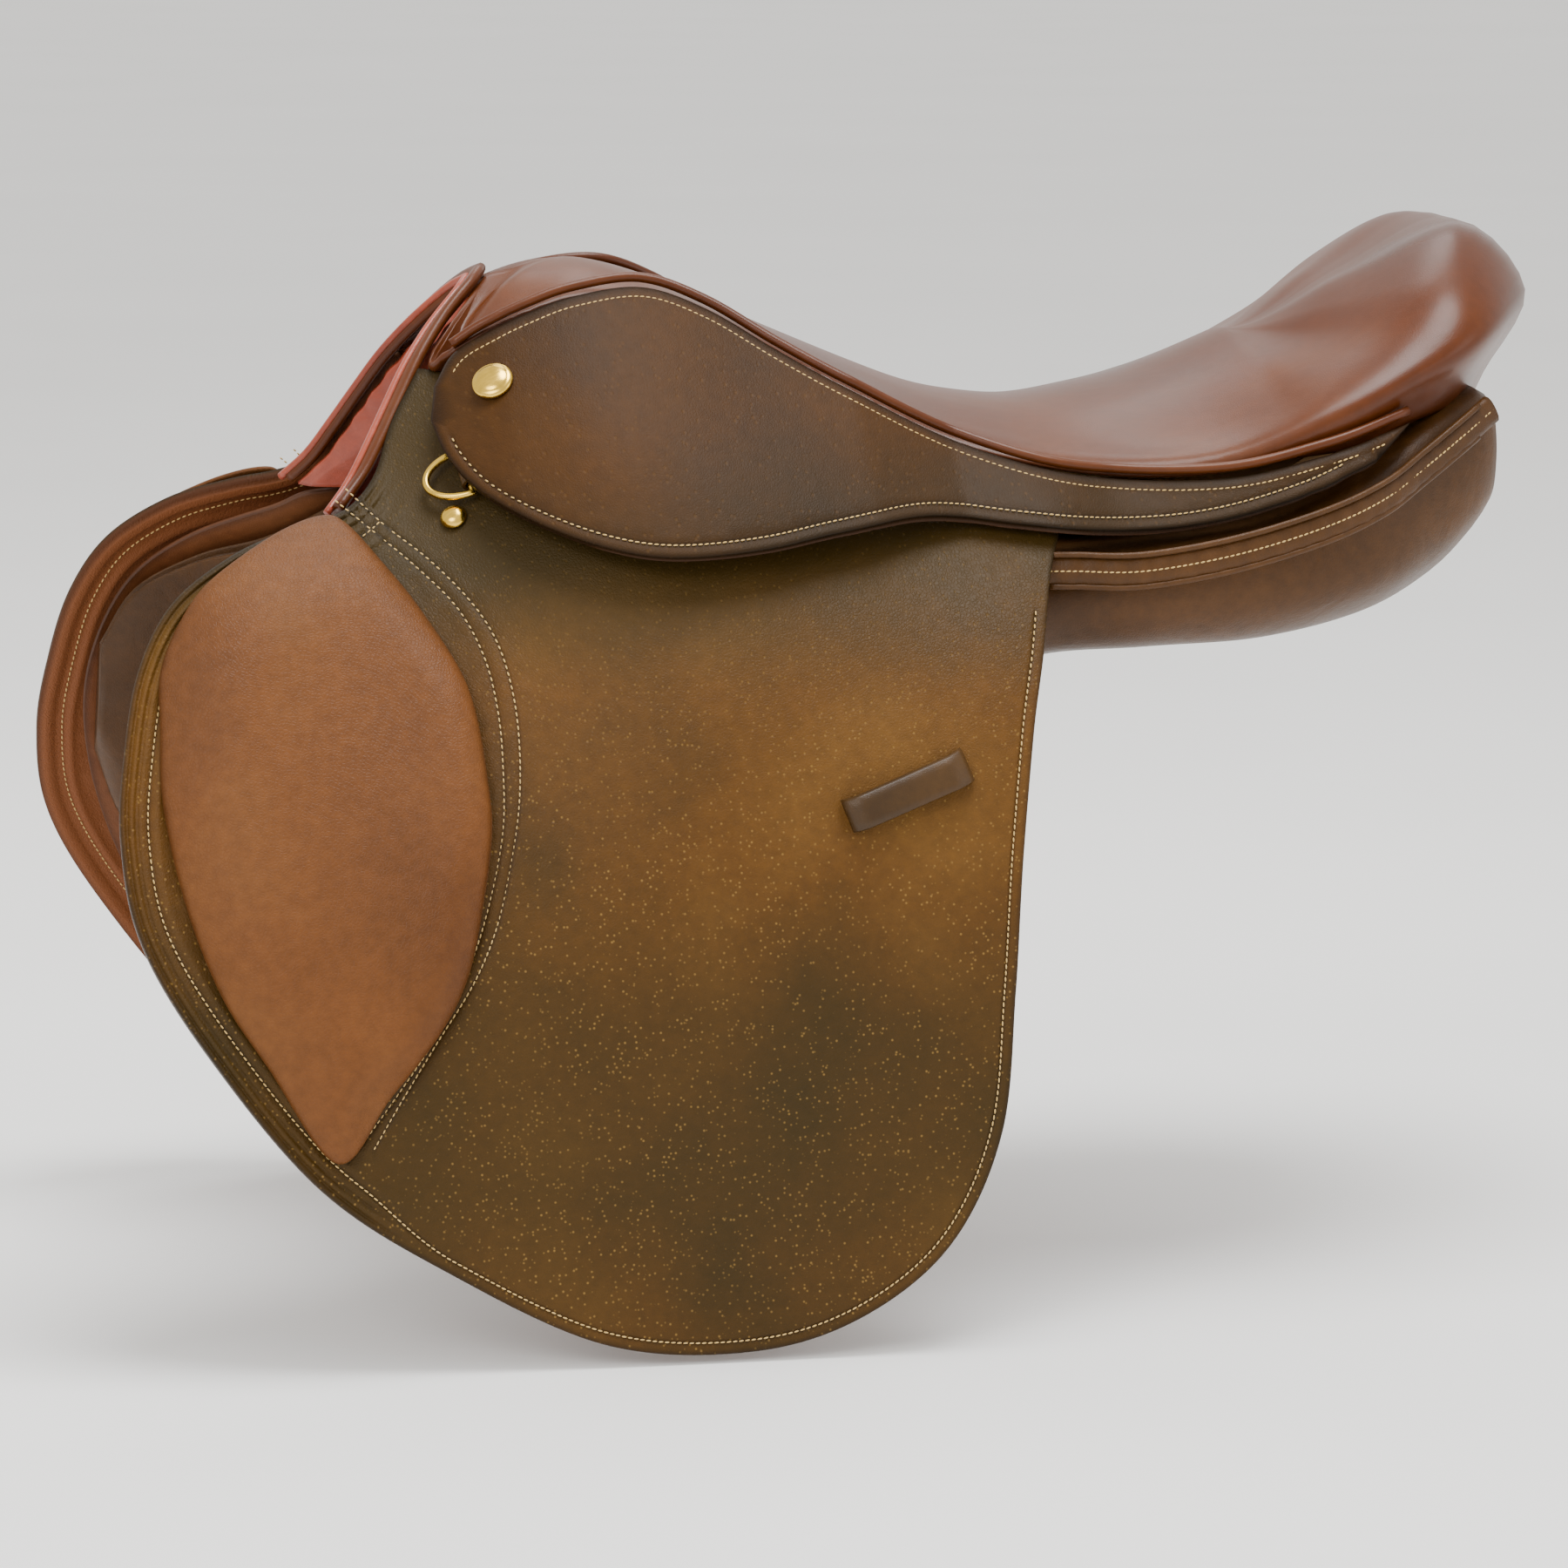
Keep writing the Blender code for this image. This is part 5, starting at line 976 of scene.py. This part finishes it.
def skirt_edge_path(rise, out):
    """The path just above the skirt's upper edge, in metres."""
    spots = smooth_through(SKIRT_UPPER[1:], 3.0)[:, :2]
    point, normal = laid(spots, skirt_stand(spots[:, 0]) + SKIRT_LEATHER * 0.5)
    lean = np.array((0.0, 0.35, 1.0))
    up = unit(lean - normal * (normal @ lean)[:, None])
    return point + up * rise + normal * out


welt = tube("welt", skirt_edge_path(0.0050, 0.0006), 0.0021, SEAT_HIDE, 12)
both_pieces(welt, "seat_piping", settle_on("saddle", "seat_welt_{}", slot="seat_leather"))


# Knee pads


def knee_crown(points):
    """The pad is full down its middle, steep along its rear seam and eased towards the flap's front."""
    foot = nearest(KNEE_LINE, (-205, -166))
    front_gap = distance_to(points, KNEE_LINE[:foot])[0]
    rear_gap = distance_to(points, KNEE_LINE[foot:])[0]
    steep = np.clip(rear_gap / 17.0, 0, 1)
    easy = np.clip(front_gap / 34.0, 0, 1)
    rise = np.sqrt(np.sin(steep * math.pi / 2)) * np.sin(easy * math.pi / 2) ** 0.8
    return 0.0032 + 0.0108 * rise


KNEE_LINE = smooth_through(KNEE_PAD_OUTLINE, 2.6, True)[:, :2]


pad = sheet_mesh("pad", KNEE_LINE, PAD_HIDE, FLAP_LEATHER + 0.0009, knee_crown, cell=4.0,
                 insets=(0.5, 1.2, 2.2, 3.6), corner=1.6)
round_off = pad.modifiers.new("rounding", "SUBSURF")
round_off.levels = round_off.render_levels = 1
both_pieces(pad, "knee_roll", settle_on("flap_{}", "knee_pad_{}", slot="soft_leather", pad=0.85))


# Keepers, for the loose end of the stirrup leather


def keeper_rings():
    corners = np.array(KEEPER_CORNERS, float)
    a, d = (corners[0] + corners[1]) / 2, (corners[2] + corners[3]) / 2
    along = unit(d - a)
    across = np.array((-along[1], along[0])) * 6.6
    rings = []
    for share in np.linspace(0, 1, 25):
        lift = 0.0036 * min(1.0, math.sin(math.pi * share) * 2.6) ** 0.7
        spot = a + (d - a) * share
        ring = []
        for wide, deep in ((-1, 0), (-0.5, 0), (0.5, 0), (1, 0), (1.03, 0.4), (0.98, 0.8), (0.9, 1), (0.45, 1.06),
                           (-0.45, 1.06), (-0.9, 1), (-0.98, 0.8), (-1.03, 0.4)):
            ring.append(laid(spot + across * wide, FLAP_LEATHER + 0.0006 + lift + deep * 0.0030)[0][0])
        rings.append(ring)
    return rings


loop = skin("loop", keeper_rings(), STRAP_HIDE)
both_pieces(loop, "leather_keeper", settle_on("flap_{}", "keeper_{}", slot="flap_leather"))


# Sweat flaps and panels

SWEAT_OUT = -(STACK_GAP * 3 + GIRTH_STRAP_LEATHER + GUARD_LEATHER + 0.0026)
SWEAT_LINE = smooth_through(SWEAT_FLAP_OUTLINE, 3.4, True)[:, :2]
SWEAT_SEAM = set_in(SWEAT_LINE, 5.0, True)[4:-60]
under_flap = sheet_mesh("under_flap", SWEAT_LINE, UNDER_HIDE, SWEAT_OUT - SWEAT_FLAP_LEATHER, SWEAT_FLAP_LEATHER,
                        insets=(0.5, 1.2, 3.0, 4.2, 5.0, 5.8), cell=7.0, corner=0.9)
both_pieces(under_flap, "under_flap", settle_on("saddle", "sweat_flap_{}", slot="strap_leather"))
both_stitched("under_flap_stitches", *seam_on([SWEAT_SEAM], SWEAT_OUT + 0.0001), riding("saddle"))


def panel_rings():
    depth = STACK_GAP * 5.4 + GIRTH_STRAP_LEATHER + GUARD_LEATHER + SWEAT_FLAP_LEATHER + 0.0016
    sections = []
    for x, low, high, gullet_top, gullet_low, share in PANEL_FRONT:
        thick = 0.027 * share
        hem = 0.011 * min(1.0, share + 0.1)
        level = np.linspace(0.0, 1.0, 5)
        middle = (level > 0) & (level < 1)
        edge = np.where(middle, 1.0, 0.35) if not gullet_top else np.where(level > 0, 1.0, 0.35)
        fill = (hem + (thick - hem) * level**0.7) * edge
        spots = np.stack([np.full(5, float(x)), low + (high - low) * level], 1)
        outer, normal = on_form(spots, np.where(middle, -depth, -depth - 0.0016))
        inner = outer - normal * fill[:, None]
        if gullet_top:
            cap = [(outer[-1][0], -0.033, gullet_top * MM), (outer[-1][0], -0.032, (gullet_top + gullet_low) / 2 * MM)]
        else:
            cap = [outer[-1] * 0.67 + inner[-1] * 0.33, outer[-1] * 0.33 + inner[-1] * 0.67]
        ring = np.array([*outer, *cap, *inner[:0:-1]])
        ring[:, 0] = x * MM + (ring[:, 0] - x * MM) * 0.15
        sections.append(ring.ravel())
    for x, ring in PANEL_REAR:
        spots = [np.array((x, -y, z)) * MM for y, z in ring]
        spots.append((spots[9] + spots[0]) / 2)
        sections.append(np.array(spots).ravel())
    return sections


def fuller(ring, pieces=5):
    """A closed ring with its sides rounded through its points."""
    near = (np.roll(ring, shift, 0)[:, None] for shift in (1, 0, -1, -2))
    return spline(*near, (np.arange(pieces) / pieces)[None, :, None]).reshape(-1, 3)


rings = [fuller(row.reshape(-1, 3)) for row in smooth_through(panel_rings(), 0.016)]
flock = skin("flock", rings, PANEL_HIDE)
both_pieces(flock, "flocked_panel", settle_on("saddle", "panel_{}", slot="seat_leather", pad=0.8))

GUSSET = smooth_through(GUSSET_LINE, 2.5) * (1, -1, 1)
GUSSET[:, 1] -= 4.6
run = np.arange(len(GUSSET)) * 2.5
strip = rounded_strip(GUSSET * MM, np.tile((0.0, 0.18, 1.0), (len(GUSSET), 1)), 0.0122, 0.0062)
strip += (np.sin(run / 1.5) * 0.00022)[:, None, None] * np.array((0.0, -1.0, 0.3))
both_pieces(skin("gusset", strip, PANEL_HIDE), "panel_gusset",
            settle_on("saddle", "panel_welt_{}", slot="seat_leather"))
for part, rise in (("upper", 6.6), ("lower", -6.4)):
    path = GUSSET[1:-4] * MM + np.array((0.0, -0.0022, rise * MM))
    both_pieces(tube("bead", path, 0.0013, PANEL_HIDE, 8), f"gusset_bead_{part}", riding("saddle"))
seam = GUSSET * MM + np.array((0.0, -0.0033, 0.0))
seam = evenly(seam / MM, STITCH_PITCH) * MM
both_stitched("gusset_stitches", seam, unit(np.gradient(seam, axis=0)) + (0, 0, 0.1), riding("saddle"))


# Pommel arch and channel


def arch_path(inset, back, drop=0.0, step=3.0):
    """The pommel arch from one side to the other, moved in and back, and down at its crown, in millimetres."""
    half = smooth_through(ARCH_LINE, step)
    x, y, z = half.T
    crown = 1 - y / 60.0
    moved = np.stack([x + back, np.maximum(y - inset * np.minimum(1.0, y / 22.0), 0.0),
                      z - inset * np.maximum(0.35, crown) - drop * np.maximum(0.0, crown)], 1)
    whole = np.concatenate([moved, moved[-2::-1] * (1, -1, 1)])
    return whole * (1, -1, 1)


ARCH = arch_path(0, 0) * MM
ACROSS = np.stack([np.full(len(ARCH), 0.62), ARCH[:, 1] * 3.0, np.full(len(ARCH), 0.85)], 1)
facing = skin("pommel_facing_hide", rounded_strip(ARCH, ACROSS, 0.0100, 0.0052, 18), SEAT_HIDE)
settle_on("saddle", "pommel_facing", slot="seat_leather")(facing)
bead = tube("pommel_bead", ARCH + np.array((-0.0042, 0.0, -0.0012)), 0.0017, LINING_HIDE, 10)
settle_on("saddle", slot="lining_leather")(bead)

steps = smooth_through([(7.5, 2, 0), (9.0, 5, 17), (10.5, 10, 39), (12.0, 28, 46), (15.5, 44, 48)], 3.0)
shell = []
for thick in (0.0, LINING_LEATHER / MM):
    for number, (inset, back, drop) in enumerate(steps if not thick else steps[::-1]):
        row = arch_path(inset + thick, back, drop)
        depth = number if not thick else len(steps) - 1 - number
        run = np.arange(len(row)) * 3.0
        gather = np.sin(run / 2.4 + 0.8 * np.sin(run / 17.0)) * math.exp(-((depth - 3) / 3.5) ** 2)
        row[:, 0] += gather * 0.7
        row[:, 2] -= gather * 0.5 * (np.abs(row[:, 1]) < 40)
        shell.append(row * MM)
lining = skin("arch_lining", np.array(shell).transpose(1, 0, 2), LINING_HIDE)
settle_on("saddle", "gullet_lining", slot="lining_leather")(lining)

BRIDGE = np.array([(x, 0.0, z) for x, z in smooth_through(BRIDGE_LINE, 5.0)]) * MM
bridge = skin("channel_hide", rounded_strip(BRIDGE, np.tile((0.0, 1.0, 0.0), (len(BRIDGE), 1)), 0.063,
                                            LINING_LEATHER, 24, 8.0), LINING_HIDE)
settle_on("saddle", "channel_lining", slot="lining_leather")(bridge)


# Brass

NAIL_POINT, NAIL_WAY = (value[0] for value in laid(NAIL_AT, skirt_stand(NAIL_AT[0]) + SKIRT_LEATHER + 0.0008))
r, h = 0.0086, 0.0042
NAIL_PROFILE = [(0, h), (r * 0.25, h * 0.985), (r * 0.5, h * 0.92), (r * 0.68, h * 0.80), (r * 0.76, h * 0.70),
                (r * 0.80, h * 0.62), (r * 0.85, h * 0.60), (r * 0.93, h * 0.50), (r * 0.985, h * 0.34), (r, h * 0.2),
                (r * 0.99, 0.0001), (0.0019, 0), (0.0019, -0.011), (0, -0.011)]
nail = turned("nail", NAIL_PROFILE, Vector(NAIL_POINT), NAIL_WAY, BRASS, 48)
both_pieces(nail, "brass_head_nail", settle_on("saddle", "head_nail_{}", slot="brass"))
STUD_POINT, STUD_WAY = (value[0] for value in laid(STUD_AT, FLAP_LEATHER + 0.001))
r, h = 0.0055, 0.0030
STUD_PROFILE = [(0, h), (r * 0.35, h * 0.97), (r * 0.65, h * 0.82), (r * 0.88, h * 0.5), (r, h * 0.12), (r, 0), (0, 0)]
stud = turned("stud", STUD_PROFILE, Vector(STUD_POINT), STUD_WAY, BRASS, 32)
both_pieces(stud, "brass_flap_stud", settle_on("saddle", "flap_stud_{}", slot="brass"))


def dee_path():
    """The dee's bow: its straight side under the chape, its round side towards the front."""
    stand = FLAP_LEATHER + 0.0015 + 0.0013 + 0.002
    point, normal = (value[0] for value in laid(DEE_AT, stand))
    away = unit(laid((DEE_AT[0] - 12, DEE_AT[1] - 4.0), stand + 0.0008)[0][0] - point)
    line = unit(np.cross(away, normal))
    half, deep = 0.0250 / 2 - 0.0015, 0.0205 - 0.0030
    turn = np.linspace(0, math.pi, 29)[1:-1, None]
    straight = point + line * np.linspace(-half, half, 13)[:, None]
    bow = point + line * half * np.cos(turn) + away * deep * np.sin(turn) ** 0.9
    return np.concatenate([straight, bow]), np.cross(away, line)


def dee_rings():
    path, side = dee_path()
    side = unit(side)
    wide = unit(np.cross(np.roll(path, -1, 0) - np.roll(path, 1, 0), side))
    turn = (np.arange(14) * math.tau / 14)[:, None]
    return path[:, None] + 0.0015 * (wide[:, None] * np.cos(turn) + side * np.sin(turn))


both_pieces(skin("dee", dee_rings(), BRASS, True), "brass_dee", settle_on("dee_{}", "dee_{}", slot="brass"))


# What stays as it was cut: tree, steel, webs and straps

for material, names in (
    (BEECH, ("tree",)),
    (STEEL, ("head_plate", "stirrup_bar_", "safety_catch_", "bar_rivet_front_", "bar_rivet_rear_")),
    (WEB, ("seat_web_long", "seat_web_cross")),
    (STRAP_HIDE, ("girth_strap_1_", "girth_strap_2_", "girth_strap_3_", "buckle_guard_", "dee_chape_")),
):
    for stem in names:
        for name in ((stem + "left", stem + "right") if stem.endswith("_") else (stem,)):
            NODES[name].data.materials.clear()
            NODES[name].data.materials.append(material)


# Room, light and camera


def area_light(name, place, aim, size, power, colour=(1.0, 1.0, 1.0)):
    data = bpy.data.lights.new(name, "AREA")
    data.shape = "DISK"
    data.size = size
    data.energy = power
    data.color = colour
    lamp = placed(name, data)
    lamp.location = place
    lamp.rotation_euler = (Vector(aim) - Vector(place)).to_track_quat("-Z", "Y").to_euler()


floor_material, floor_tree, floor_shader = new_material("matt_white_floor_paint", Roughness=0.85)
paint = add(floor_tree, "ShaderNodeTexNoise", {"Vector": add(floor_tree, "ShaderNodeTexCoord").outputs["Object"]},
            {"Scale": 3.0, "Detail": 2.0})
paint = add(floor_tree, "ShaderNodeValToRGB", {"Fac": paint},
            stops=[(0.3, linear("#f9f9f8")), (0.7, linear("#fcfcfb"))])
feed(floor_tree, floor_shader, {"Base Color": paint})
ground = CAD_BOX[0][2] - 0.003
floor = piece_from("studio_floor", [(-30, -30, ground), (30, -30, ground), (30, 30, ground), (-30, 30, ground)],
                   [[0, 1, 2, 3]], floor_material, smooth=False)

world = bpy.data.worlds.new("studio")
bpy.context.scene.world = world
world.use_nodes = True
world.node_tree.nodes["Background"].inputs["Color"].default_value = (1.0, 0.98, 0.95, 1.0)
world.node_tree.nodes["Background"].inputs["Strength"].default_value = 1.1
area_light("overhead_softbox", (0.15, -0.35, 1.9), (0, 0, 0), 1.1, 46.0)
area_light("key_softbox", (-1.7, -2.0, 1.5), (-0.05, 0, -0.05), 1.3, 34.0, (1.0, 0.98, 0.95))
area_light("rear_softbox", (0.30, 1.5, 1.9), (0.1, 0, 0.05), 1.0, 9.0)
area_light("fill_softbox", (2.0, -1.5, 0.6), (0.05, 0, 0), 1.4, 9.0)

turn, tilt = math.radians(-12.0), math.radians(9.0)
back = Vector((math.sin(turn) * math.cos(tilt), -math.cos(turn) * math.cos(tilt), math.sin(tilt)))
camera_data = bpy.data.cameras.new("camera")
camera_data.lens = 163.2
camera_data.sensor_width = 36.0
camera = placed("camera", camera_data)
camera.location = Vector((0.0, 0.0, -0.071)) + back * 3.0
camera.rotation_euler = (-back).to_track_quat("-Z", "Y").to_euler()
bpy.context.scene.camera = camera
